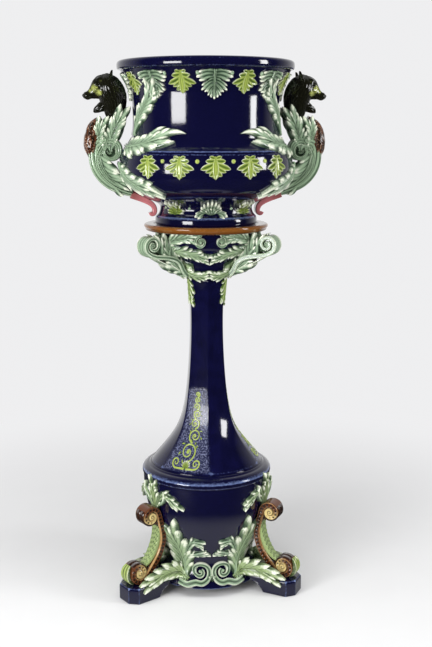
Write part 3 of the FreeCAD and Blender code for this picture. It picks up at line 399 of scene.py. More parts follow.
def blades(shells, control, half, rise, carrier, azimuth=90.0, rows=9, tint=0.0, pale=1.0, root=0.35, back=1.5,
           dark=1.0, veined=False):
    """Relief blades.  Each follows a Bezier curve in flat (across, up) coordinates; its half width is
    half sin(pi (0.08 + 0.88 u^1.25))^0.8 drawn in to a pointed tip, and its crest climbs from root x rise
    to rise.  The flat shape is pressed on the carrier and its back lies inside it."""
    control = np.asarray(control, float)
    n = len(control)
    half, rise = np.broadcast_to(half, (n,)), np.broadcast_to(rise, (n,))
    u = (1.0 - np.cos(np.linspace(0.0, math.pi, rows))) / 2.0
    line = bezier(control, u)
    _, normal = sideways(line)
    shape = np.sin(math.pi * (0.08 + 0.88 * u**1.25)) ** 0.8 * np.sqrt(np.clip(1.0 - (2 * u - 1) ** 6, 0.006, 1.0))
    width = half[:, None] * shape
    flat = line[:, :, None, :] + normal[:, :, None, :] * (width[..., None] * BLADE_V)[..., None]
    height, hollow, edge = blade_section(u, veined)
    crest = rise[:, None] * (root + (1.0 - root) * np.sin(math.pi / 2 * np.minimum(u * 1.15, 1.0)))
    lift = crest[..., None] * height - back * (1.0 - BLADE_TOP)
    shells.add(press(flat, lift, carrier, azimuth), hollow * dark, edge * pale, tint)


def cord_on(shells, line, half, rise, carrier, azimuth=90.0, trough=0.0, tint=0.0, edge=0.0, dark=0.0):
    """A moulded strand of constant or varying half width that follows a flat line on the carrier."""
    line = np.asarray(line, float)[None]
    _, normal = sideways(line)
    width = np.broadcast_to(half, line.shape[1:2])[None]
    flat = line[:, :, None, :] + normal[:, :, None, :] * (width[..., None] * BLADE_V)[..., None]
    v = np.abs(BLADE_V)
    section = np.sqrt(np.clip(1.0 - v**3, 0.0, 1.0)) * (1.0 - trough * np.exp(-((v / 0.3) ** 2))) * BLADE_TOP
    crest = np.broadcast_to(rise, line.shape[1:2])[None]
    lift = crest[..., None] * section - 1.2 * (1.0 - BLADE_TOP)
    # Dark middle: pooled glaze and painted shade; pale sides: thinner glaze and painted highlights.
    shells.add(press(flat, lift, carrier, azimuth), dark * np.exp(-((v / 0.35) ** 2)), edge * ease(0.45, 0.9, v), tint)


def hands(shells, roots, heading, reach, spread, fingers, rise, carrier, tint=0.0, pale=1.0, bend=0.0, tilt=0.0, notch=0.24,
          base=(0.0, 0.0), dark=1.0):
    """Lobes of joined fingers, each as one fluted skin.  Point (a, r) lies r reach L(a) from root + base a / 2
    in the direction heading + a spread / 2 + bend (r - 0.4), with L = (1 - 0.36 |a|^2.2)(1 - notch c^2) and
    c = cos^2(pi fingers (a + 1) / 2).  The skin dips and then curls up to its rim; the valleys between the
    fingers are dark lines and the rim is pale; tilt lifts one side over its neighbour."""
    n = len(roots)
    heading, reach, rise, bend, tilt = (np.broadcast_to(v, (n,))[:, None, None] for v in (heading, reach, rise, bend, tilt))
    a = np.linspace(-1.0, 1.0, 8 * fingers + 1)
    r = np.array([0.03, 0.18, 0.34, 0.5, 0.66, 0.8, 0.91, 0.98, 1.0])[:, None]
    across = np.concatenate([a, [0.8, 0.0, -0.8]])
    cut = np.concatenate([np.cos(math.pi * fingers * (a + 1.0) / 2.0) ** 2, [0.5, 0.5, 0.5]]) ** 2
    top = np.concatenate([np.ones(len(a)), np.zeros(3)])
    angle = heading + across * spread / 2 + bend * (r - 0.4)
    far = reach * r * (1.0 - 0.36 * np.abs(across) ** 2.2) * (1.0 - notch * cut * ease(0.2, 1.0, r))
    base = np.broadcast_to(base, (n, 2))[:, None, None, :]
    flat = np.asarray(roots, float)[:, None, None, :] + base * (across * (1.0 - 0.5 * r))[..., None] / 2
    flat = flat + np.stack([np.cos(angle) * far, np.sin(angle) * far], axis=-1)
    swell = (0.75 - 0.4 * np.sin(math.pi * np.minimum(r * 1.25, 1.0)) + 0.35 * r) * np.sqrt(np.clip(1.0 - (0.96 * r) ** 14, 0.1, 1.0))
    lift = rise * (swell + (0.3 - 0.65 * cut) * (0.35 + 0.65 * r) + tilt * across * r) * top - 1.6 * (1.0 - top)
    lift = np.where(r == 1.0, -1.6, lift)
    # Dark valleys between fingers and dark roots are pooled glaze and painted shade; the pale rim and crests are
    # thinner glaze and painted highlights.
    hollow = cut * (1.0 - 0.4 * ease(0.75, 1.0, r)) + 0.75 * (1.0 - ease(0.0, 0.5, r)) + 0.28 * np.sin(math.pi * r)
    edge = ease(0.72, 0.97, r) * (1.0 - 0.6 * cut) + 0.4 * (1.0 - ease(0.02, 0.3, cut)) * ease(0.2, 0.6, r)
    shells.add(press(flat, lift, carrier, 90.0), np.clip(hollow, 0, 1) * dark, np.clip(edge, 0, 1) * pale, tint)


def acanthus(shells, spine, half, lobes, rise, carrier, tint=0.0, seed=1, spread=56.0, pale=1.0, sides=(1.0, -1.0),
             taper=0.6, wide=1.0):
    """An acanthus leaf of long blades that run together along the spine and then peel off to tips, a long
    and a short one by turns.  Blade j leaves the spine at share t, bends by the spread angle less 24 t
    degrees and reaches half sin(pi (0.26 + 0.5 t))^taper; three more end at the tip over a dark web."""
    chance = np.random.default_rng(seed)
    j, s = (a.ravel() for a in np.meshgrid(np.arange(2 * lobes), sides, indexing="ij"))
    t = 0.16 + 0.72 * (j + 0.15 * s) / (2 * lobes - 1)
    line = bezier(spine, np.linspace(0.0, 1.0, 101))
    way, normal = sideways(line)
    long = np.linalg.norm(np.diff(line, axis=0), axis=1).sum()

    def at(share):
        return np.clip(np.round(100 * share), 0, 100).astype(int)

    here = at(t)
    reach = half * np.sin(math.pi * (0.26 + 0.5 * t)) ** taper * np.where(j % 2, 1.0, 0.72) * chance.uniform(0.93, 1.09, len(j))
    lean = np.radians(spread + 6.0 - 24.0 * t + np.where(j % 2, -6.0, 8.0) + chance.uniform(-5, 5, len(j)))[:, None]
    aside, along = normal[here] * s[:, None], way[here]
    out = aside * np.sin(lean) + along * np.cos(lean)
    step = reach[:, None]
    control = np.stack([line[at(t - 0.3)], line[at(t - 0.12)] + aside * step * 0.06, line[here] + aside * step * 0.3 + along * step * 0.2,
                        line[here] + out * step * 0.75, line[here] + out * step + along * step * 0.22], axis=1)
    # A low blade along the spine under the others, with no pale paint: its dark sides and root are pooled glaze and
    # painted shade under the blades.
    blades(shells, [np.asarray(spine, float)], half * 0.6, rise * 0.35, carrier, rows=15, tint=tint, pale=0.0, root=0.6)
    thick = wide * (0.31 * long / lobes + 0.09 * reach)
    blades(shells, control, np.clip(thick, 1.7, 0.31 * reach + 0.8), rise * (0.75 + 0.35 * t), carrier, rows=13, tint=tint, pale=pale)
    fan = np.array([[-0.5], [0.5], [0.0]])
    end, size = line[100], np.linalg.norm(line[100] - line[70])
    ends = np.stack([line[52] + 0 * fan, line[72] + normal[72] * fan * half * 0.5, line[88] + normal[88] * fan * half * 1.1,
                     end + normal[99] * fan * half * 0.9 - way[99] * np.abs(fan) * size * 0.5], axis=1)
    blades(shells, ends, max(half * 0.2, 2.0), rise * np.array([1.05, 1.05, 1.2]), carrier, rows=13, tint=tint, pale=pale)
    rib = line[np.linspace(0, 76, 24).astype(int)]
    cord_on(shells, rib, np.linspace(0.1, 0.04, 24) * half + 0.9, np.linspace(0.95, 1.2, 24) * rise, carrier, 90.0, 0.7, tint,
            0.3 * pale, 1.0)


def strokes(shells, lines, rise, carrier, tint=0.0, veined=False, pale=1.0):
    """Single blades from a list of ((across, up) control points, half width)."""
    for control, half in lines:
        blades(shells, [control], half, rise, carrier, rows=13, tint=tint, veined=veined, pale=pale)


def fingers_to(roots, tips, bend, along=(0.0, -1.0)):
    """Control points of fingers from roots to tips that leave each root along a given way."""
    roots, tips = np.asarray(roots, float), np.asarray(tips, float)
    gap = tips - roots
    pull = np.asarray(along) * np.linalg.norm(gap, axis=1, keepdims=True) * bend
    return np.stack([roots, roots + gap * 0.3 + pull, roots + gap * 0.72 + pull * 0.5, tips], axis=1)


def resample(profile, step, rounding=3):
    """A profile (radius, z, paint) at even spacing, its corners rounded by averaging neighbours."""
    p = np.asarray(profile, float)
    t = np.concatenate([[0.0], np.cumsum(np.linalg.norm(np.diff(p[:, :2], axis=0), axis=1))])
    s = np.linspace(0.0, t[-1], max(int(t[-1] / step), 8))
    out = np.stack([np.interp(s, t, p[:, c]) for c in range(p.shape[1])], axis=1)
    for _ in range(rounding):
        out[1:-1, :2] = (out[:-2, :2] + 2.0 * out[1:-1, :2] + out[2:, :2]) / 4.0
    return out


def run_down(stations, radius, first, last, count=60):
    """Profile points (radius, z, 0) on a turned surface between two heights."""
    z = np.linspace(first, last, count)
    return [(r, h, 0.0) for r, h in zip(radius(z), z)]


def lathe(shells, profile, segments=192, hollow=0.0, tint=None):
    """A turned form: each profile point (radius, z, edge) swept round the axis; ends close on the axis."""
    p = np.asarray(profile, float)
    a = np.linspace(0.0, 2 * math.pi, segments, endpoint=False)
    r = p[:, 0][:, None]
    points = np.stack([r * np.sin(a), -r * np.cos(a), np.repeat(p[:, 1][:, None], segments, 1)], axis=-1)
    shells.add(points, hollow, p[:, 2][:, None], 0.0 if tint is None else np.asarray(tint)[:, None])


def section_loop(across=17, through=9, round_by=3):
    """A closed rounded-rectangle loop: outer face, far side, inner face, near side.  Returns across (a),
    through (b) in -1..1 and which face each point is on: 0 outer, 1 far side, 2 inner, 3 near side."""
    a1, b1 = np.linspace(-1, 1, across, endpoint=False), np.linspace(1, -1, through, endpoint=False)
    a = np.concatenate([a1, np.ones(through), -a1, -np.ones(through)])
    b = np.concatenate([np.ones(across), b1, -np.ones(across), -b1])
    face = np.repeat([0, 1, 2, 3], [across, through, across, through])
    for _ in range(round_by):
        a = (np.roll(a, 1) + 2 * a + np.roll(a, -1)) / 4
        b = (np.roll(b, 1) + 2 * b + np.roll(b, -1)) / 4
    return a, b, face


def strap(shells, path, half_thick, half_wide, relief, tint=0.0):
    """A moulded strap along a path (x, z): path + normal (b half_thick + relief on the faces) and
    y = a half_wide + relief on the sides.  relief(a, b, face, share) gives height, hollow and edge."""
    a, b, face = section_loop()
    way, normal = sideways(path)
    share = np.linspace(0.0, 1.0, len(path))[:, None]
    # hollow is pooled glaze and painted shade; edge is thinner glaze and painted highlights.
    height, hollow, edge = relief(a[None], b[None], face[None], share)
    out_b = np.where(face == 0, 1.0, np.where(face == 2, -1.0, 0.0))
    out_a = np.where(face == 1, 1.0, np.where(face == 3, -1.0, 0.0))
    offset = b * half_thick[:, None] + out_b * height
    y = a * np.broadcast_to(half_wide, len(path))[:, None] + out_a * height
    points = np.stack([path[:, 0][:, None] + normal[:, 0][:, None] * offset, y,
                       path[:, 1][:, None] + normal[:, 1][:, None] * offset], axis=-1)
    shells.add(points, hollow, edge, tint)


def rounded_body(sections, rows, around):
    """A soft body through elliptical sections (x, z, heading, half thickness, half width), splined."""
    s = smooth_through([(x, z, angle, thick, wide) for (x, z), angle, thick, wide in sections], rows)
    t = np.linspace(0.0, 2 * math.pi, around, endpoint=False)
    a = np.radians(s[:, 2])
    offset = np.maximum(s[:, 3], 0.6)[:, None] * np.cos(t)
    y = np.maximum(s[:, 4], 0.6)[:, None] * np.sin(t)
    return np.stack([s[:, 0][:, None] - np.sin(a)[:, None] * offset, y,
                     s[:, 1][:, None] + np.cos(a)[:, None] * offset], axis=-1)


def button(shells, centre, side, radius, rise, tint=1.0, start=0.0):
    """A snail-shell eye on a scroll's side: a dome whose height carries a spiral groove."""
    r = np.linspace(0.04, 1.0, 12)[:, None]
    t = np.linspace(0.0, 2 * math.pi, 28, endpoint=False)
    groove = 0.5 + 0.5 * np.cos(2 * math.pi * r * 1.6 - t + start)
    height = side * (centre[2] + rise * np.sqrt(1.0 - (r * 0.98) ** 2) - 0.9 * (1 - groove) * (r < 0.93))
    x, z = centre[0] + r * radius * np.cos(t), centre[1] + r * radius * np.sin(t)
    points = np.stack([x, height, z], axis=-1)
    base = points[-1:].copy()
    base[..., 1] = side * (centre[2] - 3.0)
    shells.add(np.concatenate([points, base]), np.concatenate([(1 - groove), groove[-1:] * 0]) * 0.8, 0.25, tint)


# ---- glazes -----------------------------------------------------------------------------------------


class Wiring:
    """Short names for the nodes of one material."""

    def __init__(self, name):
        self.material = bpy.data.materials.new(name)
        self.material.use_nodes = True
        self.tree = self.material.node_tree
        self.shader = self.tree.nodes["Principled BSDF"]
        self.where = self.tree.nodes.new("ShaderNodeTexCoord").outputs["Object"]
        paint = self.tree.nodes.new("ShaderNodeAttribute")
        paint.attribute_name = "paint"
        split = self.tree.nodes.new("ShaderNodeSeparateColor")
        self.link(paint.outputs["Color"], split.inputs[0])
        self.hollow, self.edge, self.tint = split.outputs

    def link(self, out, into):
        self.tree.links.new(out, into)
        return into

    def put(self, value, socket):
        if isinstance(value, bpy.types.NodeSocket):
            self.link(value, socket)
        else:
            socket.default_value = value

    def mix(self, factor, first, second, blend="MIX"):
        node = self.tree.nodes.new("ShaderNodeMix")
        node.data_type, node.blend_type, node.clamp_factor = "RGBA", blend, True
        for value, index in ((factor, 0), (first, 6), (second, 7)):
            self.put((*value, 1.0) if hasattr(value, "__len__") else value, node.inputs[index])
        return node.outputs[2]

    def sum(self, first, second, kind="ADD", clamp=False):
        node = self.tree.nodes.new("ShaderNodeMath")
        node.operation, node.use_clamp = kind, clamp
        self.put(first, node.inputs[0])
        self.put(second, node.inputs[1])
        return node.outputs[0]

    def noise(self, scale, detail=3.0, rough=0.55, stretch=None):
        node = self.tree.nodes.new("ShaderNodeTexNoise")
        node.inputs["Scale"].default_value = scale
        node.inputs["Detail"].default_value = detail
        node.inputs["Roughness"].default_value = rough
        place = self.where
        if stretch:
            mapping = self.tree.nodes.new("ShaderNodeMapping")
            mapping.inputs["Scale"].default_value = stretch
            self.link(self.where, mapping.inputs[0])
            place = mapping.outputs[0]
        self.link(place, node.inputs["Vector"])
        return node.outputs["Fac"]

    def step(self, value, low, high):
        node = self.tree.nodes.new("ShaderNodeMapRange")
        node.interpolation_type = "SMOOTHSTEP"
        self.put(value, node.inputs["Value"])
        node.inputs["From Min"].default_value = low
        node.inputs["From Max"].default_value = high
        return node.outputs["Result"]

    def bump(self, height, distance, strength=1.0, under=None):
        node = self.tree.nodes.new("ShaderNodeBump")
        node.inputs["Strength"].default_value = strength
        node.inputs["Distance"].default_value = distance
        self.link(height, node.inputs["Height"])
        if under is not None:
            self.link(under, node.inputs["Normal"])
        return node.outputs[0]

    def finish(self, base, roughness, normal, ior=1.52, coat=0.35):
        self.put(base, self.shader.inputs["Base Color"])
        self.put(roughness, self.shader.inputs["Roughness"])
        self.link(normal, self.shader.inputs["Normal"])
        self.shader.inputs["IOR"].default_value = ior
        self.shader.inputs["Coat Weight"].default_value = coat
        self.shader.inputs["Coat Roughness"].default_value = 0.04
        return self.material


def glaze(name, body, deep, pale, tinted, cloud=0.35, crazing=0.0, roughness=0.11):
    """A lead glaze over modelled clay: body colour, deep where it pools and where shade is painted (hollow), pale where
    the glaze runs thinner and where highlights are painted (edge), another colour where tint is 1; clouds of strength,
    a wavy skin and pin-point roughness."""
    w = Wiring(name)
    clouds = w.noise(38.0, 4.0, 0.6)
    fine = w.noise(240.0, 3.0, 0.65)
    colour_now = w.mix(w.tint, body, tinted)
    # Darkening toward the deep colour: pooled glaze in the hollows and painted shade there.
    pool_and_painted_shade = w.sum(w.hollow, w.sum(w.sum(clouds, 0.5, "SUBTRACT"), cloud * 1.4, "MULTIPLY"), clamp=True)
    colour_now = w.mix(w.sum(pool_and_painted_shade, 0.92, "MULTIPLY"), colour_now, deep)
    # Lightening toward the pale colour: glaze running thinner over edges and painted highlights there.
    thin_and_painted_highlight = w.sum(w.edge, w.sum(w.sum(fine, 0.52, "SUBTRACT"), 0.9, "MULTIPLY"), clamp=True)
    thin_and_painted_highlight = w.sum(w.step(thin_and_painted_highlight, 0.28, 0.95), w.step(w.edge, 0.02, 0.3), "MULTIPLY")
    colour_now = w.mix(thin_and_painted_highlight, colour_now, pale)
    shade = w.mix(w.step(clouds, 0.3, 0.72), (0.74, 0.78, 0.72), (1.0, 1.0, 1.0))
    colour_now = w.mix(cloud, colour_now, w.mix(1.0, colour_now, shade, "MULTIPLY"))
    skin = w.bump(w.noise(22.0, 2.0, 0.4), 0.0012, 0.35)
    skin = w.bump(fine, 0.00012, 0.5, skin)
    rough = w.sum(w.sum(fine, 0.05, "MULTIPLY"), roughness - 0.02)
    return w.finish(colour_now, rough, skin)


def stippled_cobalt(name, colours):
    """The shaft's blue with panels (tint 1) of pale dabs over a blue-grey wash."""
    w = Wiring(name)
    clouds = w.noise(30.0, 3.0)
    fine = w.noise(240.0, 3.0, 0.65)
    base = w.mix(w.step(clouds, 0.3, 0.75), colours.cobalt, tuple(c * 1.7 for c in colours.cobalt))
    dabs = w.step(w.noise(330.0, 2.0, 0.5), 0.46, 0.62)
    darks = w.step(w.noise(210.0, 2.0, 0.5), 0.4, 0.6)
    ground = w.mix(w.sum(dabs, 0.75, "MULTIPLY"), (0.012, 0.014, 0.045), colours.wash)
    ground = w.mix(w.sum(darks, 0.4, "MULTIPLY"), ground, (0.02, 0.024, 0.06))
    base = w.mix(w.tint, base, ground)
    # Pale edges: the blue running thinner and painted highlights along the shaft's corners and lines.
    thin_and_painted_highlight = w.sum(w.edge, w.sum(w.sum(fine, 0.5, "SUBTRACT"), 0.7, "MULTIPLY"), clamp=True)
    thin_and_painted_highlight = w.sum(w.step(thin_and_painted_highlight, 0.25, 0.95), w.step(w.edge, 0.02, 0.3), "MULTIPLY")
    base = w.mix(thin_and_painted_highlight, base, colours.cobalt_thin_and_highlight)
    skin = w.bump(w.noise(22.0, 2.0, 0.4), 0.0012, 0.35)
    skin = w.bump(w.sum(dabs, w.tint, "MULTIPLY"), 0.0004, 0.6, skin)
    return w.finish(base, w.sum(w.sum(w.tint, 0.14, "MULTIPLY"), 0.09), skin)


def mottled_fur(name, colours):
    """The bears' chests: brown glaze broken by dark runs and cream specks."""
    w = Wiring(name)
    runs = w.noise(120.0, 3.0, 0.6, (1.0, 1.0, 0.45))
    specks = w.noise(300.0, 2.0, 0.5)
    base = w.mix(w.step(runs, 0.4, 0.6), colours.brown, (0.012, 0.006, 0.004))
    base = w.mix(w.step(specks, 0.56, 0.66), base, (0.42, 0.28, 0.19))
    # Grooves darkened: pooled glaze and painted shade.
    base = w.mix(w.sum(w.hollow, 0.8, "MULTIPLY"), base, (0.01, 0.005, 0.003))
    skin = w.bump(w.noise(150.0, 3.0), 0.0005, 0.6)
    return w.finish(base, 0.14, skin)


GLAZES = {}


def glazes(context):
    """The finishes of the whole set, made once from the colour settings."""
    if not GLAZES:
        c = context.scene.jardiniere_colours
        thin_and_painted_highlight, cream = tuple(c.cobalt_thin_and_highlight), tuple(c.cream)
        GLAZES["cobalt"] = glaze("cobalt glaze", tuple(v * 1.25 for v in c.cobalt), tuple(c.cobalt), thin_and_painted_highlight, tuple(c.lining), 0.3, roughness=0.08)
        GLAZES["leaf"] = glaze("mint glaze", tuple(c.mint), tuple(c.mint_deep), cream, tuple(c.lime), 0.5)
        GLAZES["sprig"] = glaze("lime glaze", tuple(c.lime), tuple(c.lime_deep), tuple(v * 0.8 for v in cream), tuple(c.mint), 0.45)
        GLAZES["brown"] = glaze("brown glaze", tuple(c.brown), (0.012, 0.005, 0.003), tuple(c.tan), tuple(c.butter), 0.5)
        GLAZES["honey"] = glaze("honey glaze", tuple(c.honey), (0.045, 0.013, 0.003), tuple(c.tan), tuple(c.cobalt), 0.6, roughness=0.1)
        GLAZES["fur"] = glaze("bear glaze", tuple(c.fur), (0.002, 0.002, 0.0015), (0.16, 0.17, 0.11), tuple(c.muzzle), 0.3, roughness=0.12)
        GLAZES["rose"] = glaze("rose glaze", tuple(c.rose), (0.06, 0.015, 0.014), (0.62, 0.36, 0.34), tuple(c.brown), 0.5)
        GLAZES["shaft"] = stippled_cobalt("stippled cobalt glaze", c)
        GLAZES["chest"] = mottled_fur("chest glaze", c)
    return GLAZES


class Maker(bpy.types.Operator):
    """A step of the work; each one makes a piece or a group of like pieces."""

    bl_options = {"REGISTER", "UNDO"}

    def execute(self, context):
        self.make(glazes(context), context.scene.jardiniere_relief)
        return {"FINISHED"}


# ---- studio -----------------------------------------------------------------------------------------


class JARDINIERE_OT_studio(bpy.types.Operator):
    """Pale floor, two soft windows, even room light and the camera."""

    bl_idname = "jardiniere.studio"
    bl_label = "Studio"

    def execute(self, context):
        levels = context.scene.jardiniere_studio
        self.camera(context, levels)
        self.room(context, levels)
        self.floor(context, levels)
        self.lamps(context)
        context.scene.view_settings.view_transform = "Standard"
        return {"FINISHED"}

    def camera(self, context, levels):
        data = bpy.data.cameras.new("camera")
        data.sensor_width, data.lens = 36.0, levels.lens
        eye = bpy.data.objects.new("camera", data)
        away, azimuth = 2.2392, math.radians(-6.0)
        eye.location = (away * math.sin(azimuth), -away * math.cos(azimuth), 1.0278)
        eye.rotation_euler = (math.radians(90.0 - 10.8), 0.0, math.radians(-6.56))
        context.scene.collection.objects.link(eye)
        context.scene.camera = eye

    def room(self, context, levels):
        """Camera rays see the backdrop grey, diffuse light comes evenly from all round, and reflections
        show a room that is pale behind the set and dim in front of it."""
        world = bpy.data.worlds.new("room")
        world.use_nodes = True
        context.scene.world = world
        tree = world.node_tree
        new, link = tree.nodes.new, tree.links.new
        back, even, room = tree.nodes["Background"], new("ShaderNodeBackground"), new("ShaderNodeBackground")
        grey = levels.backdrop
        back.inputs[0].default_value = (grey, grey, grey * 1.012, 1.0)
        even.inputs[1].default_value = levels.fill
        where, split, ramp = new("ShaderNodeTexCoord"), new("ShaderNodeSeparateXYZ"), new("ShaderNodeMapRange")
        link(where.outputs["Generated"], split.inputs[0])
        link(split.outputs[1], ramp.inputs["Value"])
        ramp.inputs["From Min"].default_value, ramp.inputs["From Max"].default_value = 0.05, 0.95
        ramp.inputs["To Min"].default_value, ramp.inputs["To Max"].default_value = 0.02, grey
        link(ramp.outputs[0], room.inputs[0])
        rays, glossy, seen = new("ShaderNodeLightPath"), new("ShaderNodeMixShader"), new("ShaderNodeMixShader")
        link(rays.outputs["Is Glossy Ray"], glossy.inputs[0])
        link(even.outputs[0], glossy.inputs[1])
        link(room.outputs[0], glossy.inputs[2])
        link(rays.outputs["Is Camera Ray"], seen.inputs[0])
        link(glossy.outputs[0], seen.inputs[1])
        link(back.outputs[0], seen.inputs[2])
        link(seen.outputs[0], tree.nodes["World Output"].inputs[0])

    def floor(self, context, levels):
        """A round floor that fades into the backdrop grey; reflections see it darkened to about half near the set, a
        painted shadow of the set, and see it end a little way out.
        """
        r, t = np.linspace(0.0, 1.0, 40)[1:, None] ** 1.3 * 1.6, np.linspace(0, 2 * math.pi, 96, endpoint=False)
        points = np.stack([r * np.cos(t), r * np.sin(t), 0 * r * t], axis=-1).reshape(-1, 3)
        i, j = np.meshgrid(np.arange(38), np.arange(96), indexing="ij")
        quads = np.stack([i * 96 + j, (i + 1) * 96 + j, (i + 1) * 96 + (j + 1) % 96, i * 96 + (j + 1) % 96], -1)
        middle = [(0, k, (k + 1) % 96) for k in range(1, 95)]
        mesh = bpy.data.meshes.new("floor")
        mesh.from_pydata(points.tolist(), [], quads.reshape(-1, 4).tolist() + middle)
        floor = bpy.data.objects.new("floor", mesh)
        context.scene.collection.objects.link(floor)
        w = Wiring("floor")
        place = w.tree.nodes.new("ShaderNodeVectorMath")
        place.operation = "LENGTH"
        w.link(w.where, place.inputs[0])
        glow = w.tree.nodes.new("ShaderNodeEmission")
        grey = levels.backdrop
        glow.inputs[0].default_value = (grey, grey, grey * 1.012, 1.0)
        mix = w.tree.nodes.new("ShaderNodeMixShader")
        rays = w.tree.nodes.new("ShaderNodeLightPath")
        far = w.step(place.outputs["Value"], 0.3, 1.45)
        w.link(w.sum(far, rays.outputs["Is Camera Ray"], "MULTIPLY"), mix.inputs[0])
        # For reflection rays the floor is darkened: to about half near the set, a painted shadow of the set, and to
        # nearly black farther out.
        edge = w.sum(w.step(place.outputs["Value"], 0.22, 0.48), 0.45, clamp=True)
        edge = w.sum(edge, rays.outputs["Is Glossy Ray"], "MULTIPLY")
        speck = w.noise(9.0, 2.0)
        w.shader.inputs["Roughness"].default_value = 0.55
        w.shader.inputs["Specular IOR Level"].default_value = 0.2
        w.link(w.mix(edge, w.mix(speck, (0.78, 0.78, 0.785), (0.81, 0.81, 0.815)), (0.02, 0.02, 0.02)), w.shader.inputs["Base Color"])
        w.link(w.shader.outputs[0], mix.inputs[1])
        w.link(glow.outputs[0], mix.inputs[2])
        w.link(mix.outputs[0], w.tree.nodes["Material Output"].inputs[0])
        mesh.materials.append(w.material)

    def lamps(self, context):
        """Two upright windows in front; a soft light beside each and a ceiling give no reflection."""
        for name, azimuth, away, low, high, wide, power in (
            ("window left", -47.0, 2.3, 0.46, 1.2, 0.9, 29.0),
            ("window right", 70.0, 2.2, 0.8, 1.8, 0.42, 18.0),
            ("soft left", -42.0, 2.3, 0.4, 2.0, 1.4, 20.0),
            ("soft right", 58.0, 2.3, 0.4, 2.0, 1.2, 12.0),
            ("ceiling", -20.0, 0.9, 3.0, 3.0, 2.4, 52.0),
        ):
            data = bpy.data.lights.new(name, "AREA")
            data.shape, data.size, data.energy = "RECTANGLE", wide, power
            down = low == high
            data.size_y = 2.0 if down else high - low
            lamp = bpy.data.objects.new(name, data)
            a = math.radians(azimuth)
            lamp.location = (away * math.sin(a), -away * math.cos(a), (low + high) / 2)
            lamp.rotation_euler = (0.0, 0.0, 0.0) if down else (math.radians(90.0), 0.0, a)
            lamp.visible_camera, lamp.visible_glossy = False, name.startswith("window")
            context.scene.collection.objects.link(lamp)


# ---- pot --------------------------------------------------------------------------------------------


class JARDINIERE_OT_bowl(Maker):
    """The bowl: rolled rim, cove wall, ridge, belly, stem and foot ring, glazed blue outside."""

    bl_idname = "jardiniere.bowl"
    bl_label = "Bowl"

    def make(self, finish, relief):
        # The third column is pale paint: along the rim's top, under the rim, over the ridge and round the foot ring it
        # is painted highlight as well as glaze running thinner on these edges.
        outer = [(174, 1163, 0), (175.5, 1167.4, 0), (178.5, 1169.4, 0.1), (182, TOP_Z, 0.2), (186.5, 1168.6, 0.25),
                 (189.4, 1165.4, 0.3), (190, 1162, 0.1), (190, 1156, 0), (189.2, 1151.6, 0.35), (186, 1150, 0.5),
                 (182.5, 1150.6, 0.1), (180, 1146, 0.0)]
        outer += run_down(WALL, pot_radius, 1145, 985.5, 90) + [(180.6, 984.4, 0.5), (181, 983.2, 0.9), (181.2, 981.5, 0.3),
                                                               (181, 979.2, 0.1), (183.2, 977.4, 0.5), (184, 976, 0.4)]
        outer += run_down(BELLY, pot_radius, 974, 848, 90) + [(106, 845, 0.2), (108, 843.6, 0.8), (110.4, 841, 0.5),
                                                             (111, 836, 0), (111, 830, 0), (110.4, 825.6, 0.2),
                                                             (109, 823.2, 0.4)]
        inner = [(8, 855, 0), (60, 855, 0), (86, 855, 0), (90.5, 863, 0), (116, 887, 0), (164, 911, 0), (178.5, 948, 0),
                 (170, 985, 0), (151, 1012, 0), (148, 1070, 0), (156, 1116, 0), (171, 1146, 0)]
        under = [(90.5, 823.2, 0), (87.5, 846, 0), (40, 846, 0), (8, 846, 0)]
        shape = resample(inner + outer + under, 1.7)
        inside = (np.cumsum(np.ones(len(shape))) < np.argmax((shape[:, 1] > 1161) & (shape[:, 0] > 170)))
        inside &= shape[:, 1] > 850
        shells = Shells()
        lathe(shells, shape, 168, tint=inside.astype(float))
        shells.piece("bowl_glazed", "jardiniere", finish["cobalt"], "cobalt_glaze", "bowl")


def row(shells, azimuths, make):
    """Adds the same relief at each azimuth."""
    one = Shells()
    make(one)
    shells.join(one.turned(azimuths))


def bead(shells, y, z, radius, rise, carrier, tint=0.0):
    """A domed bead pressed on the carrier: height rise sqrt(1 - r^2)."""
    r = np.concatenate([np.linspace(0.05, 1.0, 7), [0.9]])[:, None]
    t = np.linspace(0.0, 2 * math.pi, 16, endpoint=False)
    flat = np.stack([y + radius * r * np.cos(t), z + radius * r * np.sin(t)], axis=-1)
    height = rise * np.sqrt(np.maximum(1.0 - r**2, 0.0)) * np.ones_like(t)
    height[-1] = -1.5
    shells.add(press(flat, height, carrier, 90.0), 0.0, 0.55 * r**2 * np.ones_like(t), tint)


def vine_leaf(shells, top, height, width, rise, carrier, tint):
    """The hanging rim leaf: three pairs of lobes off a rib, each shorter than the one above, and a point."""
    h, w = height, width / 2
    roots = np.array([(0, top - 0.14 * h), (0, top - 0.36 * h), (0, top - 0.56 * h)])
    heading, reach = np.radians([2.0, -26.0, -44.0]), np.array([1.0, 0.86, 0.6]) * w
    for side in (1.0, -1.0):
        turned_by = heading if side > 0 else math.pi - heading
        hands(shells, roots, turned_by, reach, math.radians(38), 3, rise * np.array([0.9, 1.0, 1.1]), carrier, tint, 1.0, -0.3 * side, 0.2 * side,
              0.3, base=(0.0, 0.26 * h * side))
    hands(shells, [(0, top - 0.6 * h)], -math.pi / 2, 0.4 * h, math.radians(40), 3, rise * 1.15, carrier, tint, 1.0, notch=0.3, base=(0.4 * w, 0.0))
    rib = np.stack([np.zeros(16), np.linspace(top, top - 0.86 * h, 16)], axis=-1)
    cord_on(shells, rib, np.linspace(2.6, 1.2, 16), rise * 1.25, carrier, 90.0, 0.7, tint, 0.3, 1.0)


